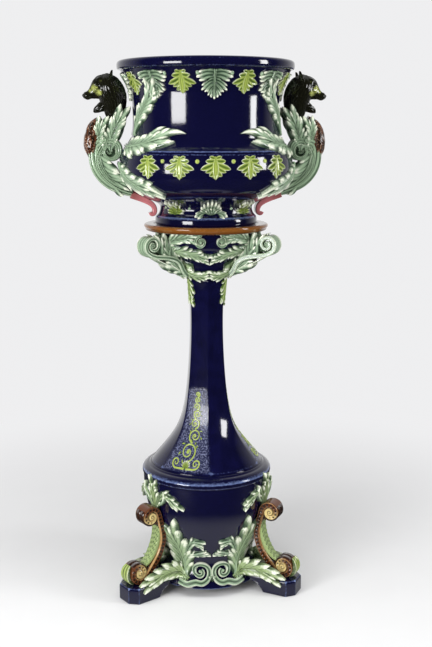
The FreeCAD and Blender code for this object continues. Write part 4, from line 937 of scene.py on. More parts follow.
def ivy_leaf(shells, top, height, width, rise, carrier, tint, pale=0.8):
    """The small leaf: a stalk, two short upper fingers, two long side lobes and a three-pointed end."""
    h, w = height, width / 2
    roots = [(0, top - 0.08 * h), (0, top - 0.16 * h), (0, top - 0.26 * h), (0, top - 0.38 * h), (0, top - 0.55 * h)]
    tips = [(0.4 * w, top - 0.02 * h), (0.66 * w, top - 0.2 * h), (1.0 * w, top - 0.56 * h), (0.68 * w, top - 0.68 * h),
            (0.42 * w, top - 0.84 * h)]
    bends = np.array([0.1, 0.15, 0.1, 0.2, 0.2])[:, None]
    half = [0.13, 0.18, 0.2, 0.15, 0.16]
    middle = [[(0, top), (0, top - 0.3 * h), (0, top - 0.7 * h), (0, top - h)]]
    blades(shells, middle, 0.42 * w, rise * 0.5, carrier, rows=12, tint=tint, pale=0.0, dark=0.5)
    for side in (1.0, -1.0):
        control = fingers_to([(x * side, z) for x, z in roots], [(x * side, z) for x, z in tips], bends)
        blades(shells, control, np.array(half) * w, rise, carrier, tint=tint, rows=9, pale=pale, veined=True)
    blades(shells, middle, 0.2 * w, rise * 1.05, carrier, rows=14, tint=tint, pale=pale, veined=True)


class JARDINIERE_OT_rim_sprigs(Maker):
    """The row under the rim: large and small leaves by turns, with a bead in each gap."""

    bl_idname = "jardiniere.rim_sprigs"
    bl_label = "Rim sprigs"

    def make(self, finish, relief):
        wall = round_depth(pot_radius)
        rise, dome = relief.sprig_rise * 1000, relief.bead_rise * 1000
        large, small, beads = Shells(), Shells(), Shells()
        row(large, np.arange(8) * 45.0, lambda s: vine_leaf(s, 1144.0, 58.0, 74.0, rise * 1.15, wall, 0.0))
        row(small, np.arange(8) * 45.0 + 22.5, lambda s: ivy_leaf(s, 1143.0, 46.0, 57.0, rise, wall, 0.0))
        row(beads, np.arange(16) * 22.5 + 11.25, lambda s: bead(s, 0.0, 1137.0, 4.0, dome, wall, 0.0))
        large.piece("rim_leaves_large_modelled", "jardiniere", finish["leaf"], "mint_glaze", "rim_leaves_large")
        small.piece("rim_leaves_small_modelled", "jardiniere", finish["sprig"], "lime_glaze", "rim_leaves_small")
        beads.piece("rim_beads_modelled", "jardiniere", finish["leaf"], "mint_glaze", "rim_beads")


class JARDINIERE_OT_belly_sprigs(Maker):
    """The row under the ridge and the row round the stem."""

    bl_idname = "jardiniere.belly_sprigs"
    bl_label = "Belly and stem sprigs"

    def make(self, finish, relief):
        belly = round_depth(pot_radius)
        rise, dome = relief.sprig_rise * 1000, relief.bead_rise * 1000
        leaves, beads = Shells(), Shells()
        spots = [side + i * 22.5 for side in (0.0, 180.0) for i in (-2, -1, 0, 1, 2)]
        gaps = [side + (i + 0.5) * 22.5 for side in (0.0, 180.0) for i in (-2, -1, 0, 1)]
        row(leaves, spots, lambda s: ivy_leaf(s, 974.0, 46.0, 61.0, rise, belly, 0.0, 1.0))
        row(beads, gaps, lambda s: bead(s, 0.0, 964.0, 4.5, dome, belly, 0.0))
        leaves.piece("belly_leaves_modelled", "jardiniere", finish["sprig"], "lime_glaze", "belly_leaves")
        beads.piece("belly_beads_modelled", "jardiniere", finish["sprig"], "lime_glaze", "belly_beads")
        fans, tulips, dots = Shells(), Shells(), Shells()
        row(fans, [0.0, 180.0], lambda s: self.fan(s, rise, belly))
        row(tulips, [45.0, -45.0, 135.0, 225.0], lambda s: self.tulip(s, rise, belly))
        spots = [side + a for side in (0.0, 180.0) for a in (-64.0, -26.0, 26.0, 64.0)]
        row(dots, spots, lambda s: bead(s, 0.0, 863.0, 3.2, dome, belly, 0.0))
        fans.piece("stem_fans_modelled", "jardiniere", finish["leaf"], "mint_glaze", "stem_leaves_large")
        tulips.piece("stem_tulips_modelled", "jardiniere", finish["sprig"], "lime_glaze", "stem_leaves_small")
        dots.piece("stem_beads_modelled", "jardiniere", finish["leaf"], "mint_glaze", "stem_beads")

    def fan(self, shells, rise, carrier):
        """A palmette: a wide fan of nine fingers over a smaller one of five, and two curled lobes below."""
        hands(shells, [(0.0, 851.0)], math.pi / 2, 30.0, math.radians(150), 9, rise * 1.1, carrier, notch=0.3, base=(-12.0, 0.0))
        hands(shells, [(0.0, 849.0)], math.pi / 2, 18.0, math.radians(120), 5, rise * 1.6, carrier, notch=0.3, base=(-6.0, 0.0))
        for side in (1.0, -1.0):
            hands(shells, [(side * 8.0, 854.0)], math.pi / 2 - side * 1.45, 27.0, math.radians(50), 3, rise * 1.2, carrier, bend=-0.7 * side)

    def tulip(self, shells, rise, carrier):
        """A spray of three pairs of lobes that open upwards."""
        for side in (1.0, -1.0):
            turned_by = math.pi / 2 - side * np.radians([62.0, 30.0])
            hands(shells, [(0.0, 852.0), (0.0, 858.0)], turned_by, [24.0, 25.0], math.radians(40), 3, rise, carrier, bend=-0.3 * side,
                  base=(0.0, 6.0 * side))
        hands(shells, [(0.0, 848.0)], math.pi / 2, 31.0, math.radians(44), 3, rise * 1.2, carrier, notch=0.3)


# ---- handles ----------------------------------------------------------------------------------------

VOLUTE = (205.5, 981.0)
SWEEP = [(232, 997), (239, 971), (233, 944), (217, 921), (192, 904), (160, 892)]
COLLAR = [((204, 1000), 92, 15, 14), ((203, 1014), 97, 20, 18), ((198, 1030), 104, 18, 19), ((197, 1038), 104, 12, 14)]
CHEST = [((223, 1050), -32, 5, 8), ((235, 1036), -50, 13, 17), ((244, 1010), -82, 16.5, 21), ((245.5, 985), -95, 14.5, 20),
         ((244, 966), -99, 6, 12)]
NECK = [((192, 1028), 86, 10, 11), ((194.5, 1052), 88, 17.5, 18), ((195.5, 1072), 86, 24, 23), ((199, 1096), 80, 29, 28),
        ((208, 1118), 75, 28, 29), ((213, 1134), 75, 17, 20), ((215, 1142), 75, 5, 7)]
MUZZLE = [((206, 1114), -10, 26, 25), ((226, 1113), -15, 24, 22), ((237, 1107.5), -20, 17.5, 15.5), ((248, 1099.5), -22, 10, 11),
          ((257, 1095.5), -22, 7.4, 9.5), ((261, 1094), -22, 2.5, 4)]
JAW = [((203, 1085), -35, 15, 18), ((218, 1075.5), -38, 11.5, 13), ((229, 1069.5), -42, 8, 10), ((236, 1065.5), -42, 5, 6.5), ((239.5, 1062.5), -42, 2, 3)]


class JARDINIERE_OT_handle_scrolls(Maker):
    """The big C-scrolls: a fluted band that rolls up into a volute with an eye."""

    bl_idname = "jardiniere.handle_scrolls"
    bl_label = "Handle scrolls"

    def make(self, finish, relief):
        rise = relief.leaf_rise * 1000
        turn_points = spiral(VOLUTE, 60.0, 380.0, 22.0, 12.0, 14)[::-1]
        path = smooth_through(np.concatenate([turn_points, SWEEP]), 190)
        share = np.linspace(0.0, 1.0, 190)
        thick = (7.0 + 18.0 * np.sin(math.pi * np.clip(share - 0.15, 0.0, 1.0)) ** 1.2) / 2
        one = Shells()

        def flutes(a, b, face, s):
            side = (face == 1) | (face == 3)
            wave = np.where(side, np.cos(b * math.pi * 3.0 + 4.0 * s), np.cos(a * math.pi * 3.0))
            swell = ease(0.0, 0.25, s) * 0.7 + 0.3
            rim = np.exp(-(((np.abs(np.where(side, b, a)) - 0.86) / 0.12) ** 2))
            return (1.2 * wave + 0.8 * rim) * swell, np.clip(-wave, 0, 1), np.clip(0.4 * rim + 0.3 * (wave > 0.7), 0, 1)

        strap(one, path, thick, 17.0 - 3.0 * ease(0.85, 1.0, share), flutes)
        for side in (1.0, -1.0):
            self.web(one, side)
            self.flank(one, rise, wall_at(12.0, side))
        for name, azimuth in HANDLES.items():
            one.turned([azimuth]).piece("handle_scroll_glazed_" + name, "jardiniere", finish["leaf"], "mint_glaze", "handle_scroll_" + name)

    def web(self, shells, side):
        """The sunk disc inside the volute, dark with glaze, and the small curl that rolls into it."""
        r = np.linspace(0.1, 1.0, 8)[:, None] * 19.0
        t = np.linspace(0, 2 * math.pi, 40, endpoint=False)
        y = side * (8.0 - 0.08 * r) + 0 * t
        points = np.stack([VOLUTE[0] + r * np.cos(t), y, VOLUTE[1] + r * np.sin(t)], axis=-1)
        shells.add(np.concatenate([points, points[-1:] * [1, 0, 1]]), 1.0, 0.0, 0.0)
        curl = smooth_through(spiral(VOLUTE, 200.0, -330.0, 14.0, 3.0, 12), 50)
        cord_on(shells, curl, np.linspace(3.4, 2.0, 50), 7.0, wall_at(7.0, side), 90.0, 0.4, 0.0, 0.8, 0.8)

    def flank(self, shells, rise, wall):
        """The leaf on the C's side: blades that curl from the band over the gap to the pot, and two ribs
        that run out of the volute into the band."""
        acanthus(shells, [(231, 978), (228, 936), (204, 912), (166, 898)], 34.0, 3, rise * 1.1, wall, seed=41, spread=62.0, sides=(-1.0,), wide=1.4)
        outer = smooth_through([(224, 990), (234, 968), (231, 944), (214, 921), (188, 903), (160, 893)], 60)
        cord_on(shells, outer, np.linspace(4.4, 3.0, 60), rise * 1.3, wall, 90.0, 0.7, 0.0, 0.6, 1.0)


class JARDINIERE_OT_bears(Maker):
    """The bears: head and neck with carved locks, ears, eyes, nose and open mouth; and the mottled chest."""

    bl_idname = "jardiniere.bears"
    bl_label = "Bears"

    def make(self, finish, relief):
        depth = relief.fur_depth * 1000
        for name, azimuth in HANDLES.items():
            head = self.head(azimuth, depth)
            head.piece("bear_head_modelled_" + name, "jardiniere", finish["fur"], "bear_glaze", "bear_head_" + name)
            chest = Shells()
            body = rounded_body(CHEST, 60, 48)
            locks = self.locks(body, 3.4, 7.0)
            body = self.push(body, locks * 0.9 - 0.3)
            # Grooves between the locks darkened: pooled glaze and painted shade.
            chest.add(body, np.clip(-locks, 0, 1) * 0.8)
            chest.turned([azimuth]).piece("bear_chest_modelled_" + name, "jardiniere", finish["chest"], "chest_glaze", "bear_chest_" + name)

    def locks(self, body, pitch, wave):
        """Carved hair: a ridge every pitch round the body, bent by a wave along it, -1 to 1."""
        rows, around = body.shape[:2]
        t = np.linspace(0, 2 * math.pi, around, endpoint=False)
        along = np.concatenate([[0], np.cumsum(np.linalg.norm(np.diff(body.mean(1), axis=0), axis=1))])[:, None]
        girth = np.maximum(np.ptp(body[..., 1], axis=1) / 2, 3.0)[:, None]
        turns = np.round(2 * math.pi * 20.0 / pitch)
        phase = turns * t + 1.6 * np.sin(along / wave + 3.0 * np.sin(t)) + 0.8 * np.sin(along / 3.1 + 5 * t)
        return np.sin(phase) * ease(2.0, 9.0, girth)

    def push(self, body, height):
        """Moves each point of a rows x around grid out along its own normal."""
        du = np.gradient(body, axis=0)
        dv = np.roll(body, -1, axis=1) - np.roll(body, 1, axis=1)
        normal = np.cross(du, dv)
        normal /= np.maximum(np.linalg.norm(normal, axis=-1, keepdims=True), 1e-6)
        outward = body - body.mean(1, keepdims=True)
        normal *= np.sign((normal * outward).sum(-1, keepdims=True).mean())
        return body + normal * np.asarray(height)[..., None]

    def patches(self, points, spots):
        """Soft round patches: the greatest of 1 - distance / radius, eased."""
        value = np.zeros(points.shape[:-1])
        for (x, y, z), radius in spots:
            for side in (1.0, -1.0):
                d = np.linalg.norm(points - [x, y * side, z], axis=-1)
                value = np.maximum(value, ease(0.0, 0.7, 1.0 - d / radius))
        return value

    def head(self, azimuth, depth):
        shells = Shells()
        yellow = [((236.0, 12.0, 1112.0), 11.0), ((228.0, 20.0, 1101.0), 11.0), ((244.0, 7.0, 1106.0), 7.0), ((222.0, 17.0, 1124.0), 6.0)]
        bodies = [(NECK, 110, 88), (MUZZLE, 80, 72), (JAW, 50, 48)]
        for index, (sections, rows, around) in enumerate(bodies):
            body = rounded_body(sections, rows, around)
            locks = self.locks(body, 4.4 if index == 0 else 3.4, 9.0)
            quiet = 1.0 if index == 0 else 1.0 - ease(236.0, 246.0, body[..., 0])
            if index == 1:
                crease = self.patches(body, [((232.0, 15.5, 1117.0), 8.0)])
                brow = self.patches(body, [((226.0, 14.0, 1129.0), 9.0), ((222.0, 22.0, 1103.0), 12.0)])
                body = self.push(body, brow * 2.6 - crease * 2.4)
                body[..., 2] -= 1.6 * np.exp(-((body[..., 1] / 5.0) ** 2)) * ease(226.0, 240.0, body[..., 0]) * (body[..., 2] > 1105)
            body = self.push(body, locks * depth * quiet)
            patch = self.patches(body, yellow) if index else 0.0
            # mouth: the front of the muzzle below z 1090 is painted nearly black, painted shade for the dark inside of
            # the open mouth.
            mouth = ease(0.0, 3.0, 1090.0 - body[..., 2]) * ease(228.0, 236.0, body[..., 0]) if index == 1 else 0.0
            # Grooves between the locks darkened and their crests paled: pooled glaze and painted shade in the grooves,
            # painted highlights on the crests.
            shells.add(body, np.clip(-locks, 0, 1) * 0.8 * quiet + mouth, np.clip(locks, 0, 1) * 0.35 * quiet, patch)
        for side in (1.0, -1.0):
            self.ear(shells, side)
            self.ball(shells, (231.5, side * 16.2, 1117.0), (2.7, 2.2, 2.7), 0.9, 0.25)
            self.ball(shells, (231.8, side * 17.2, 1120.6), (5.4, 3.0, 2.2), 0.2, 0.0)
            self.ball(shells, (231.0, side * 16.9, 1113.4), (4.6, 2.6, 1.5), 0.0, 0.9)
            self.ball(shells, (259.5, side * 3.6, 1097.0), (2.0, 1.7, 1.5), 1.0, 0.0)
        self.ball(shells, (258.0, 0.0, 1097.5), (5.2, 7.6, 4.6), 0.6, 0.0)

        return shells.turned([azimuth])

    def ball(self, shells, centre, radii, hollow, tint):
        """An ellipsoid: rings of radius sin(p) at height cos(p)."""
        p = np.linspace(0.12, math.pi - 0.12, 12)[:, None]
        t = np.linspace(0, 2 * math.pi, 18, endpoint=False)
        points = np.stack([np.sin(p) * np.cos(t), np.sin(p) * np.sin(t), np.cos(p) + 0 * t], axis=-1)
        shells.add(np.array(centre) + points * radii, hollow, 0.0, tint)

    def ear(self, shells, side):
        """A rounded ear, cupped to the front: a thick disc that leans back, its front face hollowed."""
        u = np.linspace(0.0, 1.0, 14)[:, None]
        v = np.linspace(0, 2 * math.pi, 22, endpoint=False)
        wide = 9.0 * np.sqrt(np.clip(1.0 - (u * 0.97) ** 2.4, 0.02, 1.0))
        front = np.clip(np.cos(v), 0.0, 1.0)
        through = 8.5 * (1.0 - 0.75 * u) * np.cos(v) - 7.0 * front * np.sin(math.pi * (0.2 + 0.7 * u)) * (1.0 - np.abs(np.sin(v)) ** 3)
        across = wide * np.sin(v)
        x = 207.0 - 7.0 * u + through + 0.25 * np.abs(across)
        y = side * (17.0 + 4.0 * u) + across * 0.9
        points = np.stack([x, y, 1124.0 + 25.0 * u + 0 * v], axis=-1)
        shells.add(points, 0.8 * front * np.ones_like(u), 0.3 * np.abs(np.sin(v)) ** 4 * np.ones_like(u), 0.0)


def standing_blade(shells, base, top, out, half, rise, bow=0.0, tint=0.0, veined=True):
    """A free leaf from base to top in space: its width lies across both its run and the way out, and its
    face looks out.  base, top and out are (x, y, z)."""
    base, top, out = (np.asarray(v, float) for v in (base, top, out))
    u = (1.0 - np.cos(np.linspace(0, math.pi, 12))) / 2
    out = out / np.linalg.norm(out)
    centre = base + (top - base) * u[:, None] + out * (bow * np.sin(math.pi * u) + rise * u**3)[:, None]
    way = np.gradient(centre, axis=0)
    way /= np.linalg.norm(way, axis=1, keepdims=True)
    across = np.cross(way, out)
    across /= np.linalg.norm(across, axis=1, keepdims=True)
    lift = np.cross(across, way)
    width = half * np.sin(math.pi * (0.14 + 0.8 * u)) ** 0.8
    height, hollow, edge = blade_section(u, veined)
    thick = (3.4 * np.sin(math.pi * (0.2 + 0.7 * u)))[:, None]
    points = centre[:, None] + across[:, None] * (width[:, None] * BLADE_V)[..., None] + lift[:, None] * (thick * (height - 0.4))[..., None]
    shells.add(points, hollow, edge, tint)


class JARDINIERE_OT_collars(Maker):
    """The leaf ruffs that hold the bears' necks, and their leaves over the chests."""

    bl_idname = "jardiniere.collars"
    bl_label = "Leaf collars"

    def make(self, finish, relief):
        one = Shells()
        body = rounded_body(COLLAR, 24, 40)
        t = np.linspace(0, 2 * math.pi, 40, endpoint=False)
        one.add(body, 0.6 + 0.3 * np.cos(8 * t) * np.ones((24, 1)), 0.0, 0.0)
        for side in (1.0, -1.0):
            wall = (lambda x, z: 13.0 + 9.0 * ease(1000.0, 1046.0, z) - 0.25 * np.maximum(x - 226.0, 0.0), side)
            acanthus(one, [(204, 980), (210, 1006), (196, 1030), (178, 1066)], 24.0, 3, 5.0, wall, seed=51, spread=50.0, taper=0.3)
            acanthus(one, [(216, 974), (236, 992), (236, 1012), (220, 1048)], 20.0, 3, 5.5, wall, seed=52, spread=50.0, taper=0.3)
            curl = smooth_through([(226, 972), (236, 992), (230, 1010), (217, 1011), (213, 1001), (220, 996)], 50)
            cord_on(one, curl, np.linspace(4.2, 2.6, 50), np.linspace(6.0, 8.0, 50), wall, 90.0, 0.6, 0.0, 0.5, 1.0)
            standing_blade(one, (188, side * 5, 1004), (176, side * 7, 1046), (-1, side * 0.5, 0), 7.0, 2.0, 2.0)
        for name, azimuth in HANDLES.items():
            one.turned([azimuth]).piece("handle_collar_modelled_" + name, "jardiniere", finish["leaf"], "mint_glaze", "handle_collar_" + name)


class JARDINIERE_OT_handle_leaves(Maker):
    """The acanthus leaves that spread from each handle over the bowl's wall."""

    bl_idname = "jardiniere.handle_leaves"
    bl_label = "Handle leaves"

    def make(self, finish, relief):
        rise = relief.leaf_rise * 1000
        wall = round_depth(pot_radius)
        for name, azimuth in HANDLES.items():
            for kind, offset in (("upper", -38.0), ("middle", -38.0), ("lower", -34.0)):
                one = Shells()
                getattr(self, kind)(one, rise, wall)
                both = Shells()
                both.join(one.turned([azimuth + offset])).join(one.turned([azimuth - offset], mirrored="only"))
                both.piece(f"handle_leaf_{kind}_modelled_{name}", "jardiniere", finish["leaf"], "mint_glaze", f"handle_leaf_{kind}_{name}")

    def upper(self, shells, rise, wall):
        """A grooved stem that climbs in an S to the rim row, with blades along its sides."""
        stem = [(60, 1014), (44, 1078), (-10, 1062), (-8, 1124)]
        acanthus(shells, stem, 26.0, 4, rise, wall, seed=21, spread=54.0, taper=0.4)

    def middle(self, shells, rise, wall):
        """A leaf along the wall's foot: upright blades above, hanging ones below, and a big hooked end."""
        acanthus(shells, [(92, 992), (44, 988), (10, 994), (-50, 1012)], 30.0, 4, rise * 1.1, wall, seed=11, spread=56.0, taper=0.35)
        hook = [((10, 994), (-28, 998), (-44, 1034), (-84, 1018)), ((8, 992), (-22, 988), (-44, 996), (-66, 1001)),
                ((20, 998), (-6, 1012), (-20, 1028), (-42, 1032))]
        strokes(shells, [(list(hook[0]), 9.0), (list(hook[1]), 6.5), (list(hook[2]), 6.5)], rise * 1.3, wall)

    def lower(self, shells, rise, wall):
        """The leaf under the handle on the belly, with a long curled end."""
        acanthus(shells, [(80, 956), (44, 926), (6, 912), (-30, 908)], 27.0, 4, rise * 1.1, wall, seed=13, spread=56.0, taper=0.4)
        strokes(shells, [([(30, 920), (0, 926), (-22, 922), (-52, 899)], 8.0)], rise * 1.25, wall)


class JARDINIERE_OT_brackets(Maker):
    """The pink straps from under the belly to the foot ring, each with a curled toe."""

    bl_idname = "jardiniere.brackets"
    bl_label = "Foot brackets"

    def make(self, finish, relief):
        path = smooth_through([(163, 889), (150, 884), (129, 875), (115, 864), (112, 854), (115, 847), (120, 846.5), (122, 850)], 70)
        share = np.linspace(0, 1, 70)

        def ribs(a, b, face, s):
            wave = np.cos(a * math.pi * 2.0)
            rim = np.exp(-(((np.abs(a) - 0.85) / 0.14) ** 2)) * (face == 0)
            return 0.7 * rim + 0.4 * wave * (face == 0), np.clip(-wave, 0, 1) * 0.8 * (face != 2), 0.8 * rim

        one = Shells()
        strap(one, path, 7.5 - 3.5 * share, 15.0, ribs, ease(0.45, 0.0, share)[:, None] * 0.6)
        for name, azimuth in HANDLES.items():
            one.turned([azimuth]).piece("foot_bracket_glazed_" + name, "jardiniere", finish["rose"], "rose_glaze", "foot_bracket_" + name)


# ---- pedestal ---------------------------------------------------------------------------------------


class JARDINIERE_OT_top_plate(Maker):
    """The amber plate: a moulded edge and a shallow seat."""

    bl_idname = "jardiniere.top_plate"
    bl_label = "Top plate"

    def make(self, finish, relief):
        # The third column paints the moulding's rounded edges pale tan: painted highlights as well as glaze running
        # thinner.
        edge = [(6, 811.1, 0), (120, 811.1, 0), (129, 811.1, 0), (132.4, 812.6, 0.2), (133, 815, 0.2), (133, 817, 0.0), (135, 818, 0.4),
                (136, 821, 0.3), (135.4, 824, 0.35), (132, 826, 0.5), (124, 826, 0.1), (115.5, 826, 0.3), (113.5, 823, 0), (60, 823, 0), (6, 823, 0)]
        shape = resample(edge, 1.1, 2)
        # low darkens the band under the moulding and the underside: glaze pooled in the recess and painted shade under
        # the overhang.
        low = np.clip((818.5 - shape[:, 1]) / 6.0, 0, 1)[:, None]
        shells = Shells()
        lathe(shells, shape, 168, low * 0.9)
        shells.piece("top_plate_glazed", "stand", finish["honey"], "honey_glaze", "top_plate")


class JARDINIERE_OT_capital(Maker):
    """The capital: its blue bell and the three leafy corners that roll up under the plate."""

    bl_idname = "jardiniere.capital"
    bl_label = "Capital"

    def make(self, finish, relief):
        bell = Shells()
        shape = [(6, 811, 0), (100, 811, 0)] + run_down(BELL, bell_radius, 811, 704, 70) + [(40, 704, 0), (6, 704, 0)]
        lathe(bell, resample(shape, 2.0, 1), 144)
        bell.piece("capital_bell_glazed", "stand", finish["cobalt"], "cobalt_glaze", "capital_bell")
        corner = self.corner(relief.leaf_rise * 1000)
        for name, azimuth in FEET.items():
            corner.turned([azimuth]).piece("capital_corner_modelled_" + name, "stand", finish["leaf"], "mint_glaze", "capital_corner_" + name)

    def corner(self, rise):
        one = Shells()
        reach, z = 148.0, 785.5
        rolled = spiral((reach, z), -75.0, 500.0, 20.0, 5.0, 16)
        stem = [(62.0, 716.0), (70.0, 724.0), (81.0, 744.0), (112.0, 758.0)]
        path = smooth_through(np.concatenate([stem, rolled]), 190)
        share = np.linspace(0, 1, 190)

        def flutes(a, b, face, s):
            side = (face == 1) | (face == 3)
            wave = np.where(side, -np.cos(b * math.pi), np.cos(a * math.pi * 4.0))
            rim = np.exp(-(((np.abs(np.where(side, b, a)) - 0.85) / 0.15) ** 2))
            return 0.8 * wave * (~side) + 0.9 * rim, np.clip(-wave, 0, 1) * 0.9, np.clip(rim, 0, 1) * 0.8

        strap(one, path, (10.0 - 5.0 * share) / 2, 19.0 - 2.0 * share, flutes)
        for side in (1.0, -1.0):
            self.cheek(one, side, reach, z)
            button(one, (reach, z, 12.0), side, 7.0, 4.0, 0.0)
        core = rounded_body([((40, 772), 0, 30, 14), ((70, 766), 10, 30, 14), ((100, 778), 25, 24, 13), ((130, 788), 20, 20, 12), ((140, 790), 20, 14, 10)], 40, 40)
        t = np.linspace(0, 2 * math.pi, 40, endpoint=False)
        one.add(core, 0.45 + 0.4 * np.cos(9 * t) * np.ones((40, 1)), 0.0, 0.0)
        for y, lift in ((0.0, 1.0), (11.0, 0.7), (-11.0, 0.7)):
            standing_blade(one, (58, y * 0.5, 716), (112, y, 753), (0.45, 0, -0.9), 8.0, 3.0, 5.0 * lift)
            standing_blade(one, (72, y * 0.7, 728), (146, y, 763), (0.25, 0, -0.97), 7.0, 2.0, 4.0)
        return one

    def cheek(self, shells, side, reach, z):
        """The leaf on a corner's side, from the stem into the volute, and the dark disc behind the eye."""
        acanthus(shells, [(66, 720), (92, 744), (116, 756), (104, 802)], 27.0, 3, 5.0, wall_at(11.0, side), seed=31, taper=0.3, wide=1.2)
        strokes(shells, [([(104, 754), (132, 772), (126, 800), (146, 808)], 6.0), ([(112, 758), (138, 764), (120, 786), (128, 802)], 6.0)], 6.0,
                wall_at(12.0, side))
        r = np.linspace(0.1, 1.0, 7)[:, None] * 19.0
        t = np.linspace(0, 2 * math.pi, 36, endpoint=False)
        points = np.stack([reach + r * np.cos(t), side * (11.5 - 0.1 * r) + 0 * t, z + r * np.sin(t)], axis=-1)
        shells.add(np.concatenate([points, points[-1:] * [1, 0, 1]]), 0.9, 0.0, 0.0)


class JARDINIERE_OT_capital_leaves(Maker):
    """Three tiers of leaves from each corner to the middle of each face, the small scrolls and pendants."""

    bl_idname = "jardiniere.capital_leaves"
    bl_label = "Capital leaves"

    def make(self, finish, relief):
        rise = relief.leaf_rise * 1000
        bell = round_depth(bell_radius)
        tiers = {
            "upper": ([(98, 778), (76, 802), (56, 806), (34, 799)], 17.0, 3, 0.0),
            "middle": ([(88, 768), (52, 778), (30, 764), (3, 755)], 16.0, 3, 0.15),
            "lower": ([(66, 758), (52, 712), (22, 712), (1, 720)], 15.0, 3, 0.3),
        }
        for name, (spine, half, lobes, tint) in tiers.items():
            one = Shells()
            acanthus(one, spine, half, lobes, rise * 0.95, bell, seed=lobes + len(name), tint=tint, taper=0.3)
            if name == "upper":
                coil = smooth_through(spiral((21.0, 795.0), 95.0, -560.0, 12.5, 2.0, 18), 90)
                lead = np.array([(52.0, 801.5), (40.0, 808.6), (30.0, 809.0)])
                line = smooth_through(np.concatenate([lead, coil[3:]]), 120)
                cord_on(one, line, np.linspace(4.2, 2.2, 120), np.linspace(6.5, 8.5, 120), bell, 90.0, 0.4, 0.0, 0.8, 0.8)
                bead(one, 21.0, 795.0, 3.4, 9.0, bell)
            both = one.turned(list(FACES.values()), True)
            both.piece(f"capital_leaves_{name}_modelled", "stand", finish["leaf"], "mint_glaze", f"capital_leaves_{name}")
        drop = Shells()
        acanthus(drop, [(0, 706), (0, 690), (0, 676), (0, 650)], 14.0, 2, 4.4, shaft_edge_depth, seed=5, tint=0.35, taper=0.3)
        drop.turned(list(FEET.values())).piece("neck_pendants_modelled", "stand", finish["sprig"], "lime_glaze", "neck_pendants")


class JARDINIERE_OT_shaft(Maker):
    """The six-sided shaft with three stippled panels, and the scrolling vines that lie on them."""

    bl_idname = "jardiniere.shaft"
    bl_label = "Shaft"

    def make(self, finish, relief):
        t = np.concatenate([[-0.985], np.linspace(-0.93, 0.93, 13), [0.985]])
        within = np.degrees(np.arctan(t * math.tan(math.radians(30.0))))
        a = np.radians((np.arange(6)[:, None] * 60.0 + 30.0 + within).ravel())
        local = np.radians(np.tile(within, 6))
        z = np.linspace(286.0, 704.0, 190)[:, None]
        corner, roundness = shaft_corner(z)
        apothem = corner * math.cos(math.radians(30.0))
        sagitta = np.maximum((corner - apothem) * roundness, 0.05)
        arc = ((corner / 2) ** 2 + sagitta**2) / (2 * sagitta)
        middle = apothem + sagitta - arc
        r = middle * np.cos(local) + np.sqrt(arc**2 - (middle * np.sin(local)) ** 2)
        points = np.stack([r * np.sin(a), -r * np.cos(a), z + 0 * a], axis=-1)
        side = np.repeat(np.arange(6), len(t))
        y = np.abs(np.tile(t, 6))
        panel = np.isin(side, (5, 1, 3)) * ease(0.9, 0.84, y) * ease(466.0, 452.0, z) * ease(290.0, 295.0, z)
        line = np.isin(side, (5, 1, 3)) * np.exp(-(((y - 0.93) / 0.03) ** 2)) * ease(480.0, 440.0, z) * 0.3
        # Pale paint on the corners, stronger below z 420, and in a line round the foot: painted highlights as well as
        # the blue running thinner.
        ridge = ease(0.97, 0.985, y) * (0.08 + 0.16 * ease(420.0, 330.0, z))
        foot = np.exp(-(((z - 291.0) / 2.0) ** 2)) * 0.4
        shells = Shells()
        shells.add(points, 0.0, np.clip(line + ridge + foot, 0, 1), panel)
        shells.piece("shaft_glazed", "stand", finish["shaft"], "cobalt_glaze", "shaft")
        vines = Shells()
        self.vine(vines, relief.vine_rise * 1000)
        vines.turned([-30.0, 90.0, 210.0]).piece("shaft_vines", "stand", finish["sprig"], "lime_glaze")

    def vine(self, shells, rise):
        """A running scroll: in each bay a coil of one and a half turns leaves a stem that swings to the
        other side for the next; bays shrink as the panel narrows."""
        bays = [(-4.0, 328.0, 19.0, 1), (3.5, 359.0, 14.5, -1), (-2.0, 384.0, 11.4, 1), (2.0, 404.0, 9.4, -1), (-1.2, 421.0, 7.8, 1),
                (1.0, 435.5, 6.6, -1), (0.0, 448.0, 5.4, 1)]
        for y, z, radius, hand in bays:
            coil = spiral((0.0, 0.0), -80.0, 560.0, radius, radius * 0.16, 26)
            coil[:, 0] *= hand
            line = smooth_through(coil + [y, z], 90)
            cord_on(shells, line, np.linspace(1.7, 1.1, 90), rise, shaft_depth, 90.0, 0.0, 0.0, 0.5)
            bead(shells, y, z, radius * 0.2, rise, shaft_depth)
            angle = np.radians(np.array([20.0, 75.0, 130.0, 185.0, 240.0]))
            roots = np.stack([y + hand * np.cos(angle) * radius * 0.9, z + np.sin(angle) * radius * 0.9], axis=-1)
            tips = roots + np.stack([hand * np.cos(angle + 0.9), np.sin(angle + 0.9)], axis=-1) * radius * 0.42
            blades(shells, fingers_to(roots, tips, 0.2, (0.0, 1.0)), radius * 0.13, rise, shaft_depth, rows=6, root=0.7, pale=0.4)
        for y, z, hand, radius in ((-26.0, 307.0, 1, 9.5), (21.0, 307.0, -1, 9.5)):
            coil = spiral((0.0, 0.0), -90.0, 480.0, radius, 1.6, 20)
            coil[:, 0] *= -hand
            line = smooth_through(np.concatenate([[(-y * 0.9, 296.5 - z), (-y * 0.5, -radius - 0.4)], coil[1:]]) + [y, z], 80)
            cord_on(shells, line, np.linspace(2.0, 1.1, 80), rise, shaft_depth, 90.0, 0.0, 0.0, 0.5)
        hands(shells, [(0.0, 296.0)], math.pi / 2, 17.0, math.radians(120), 7, rise, shaft_depth, notch=0.4)


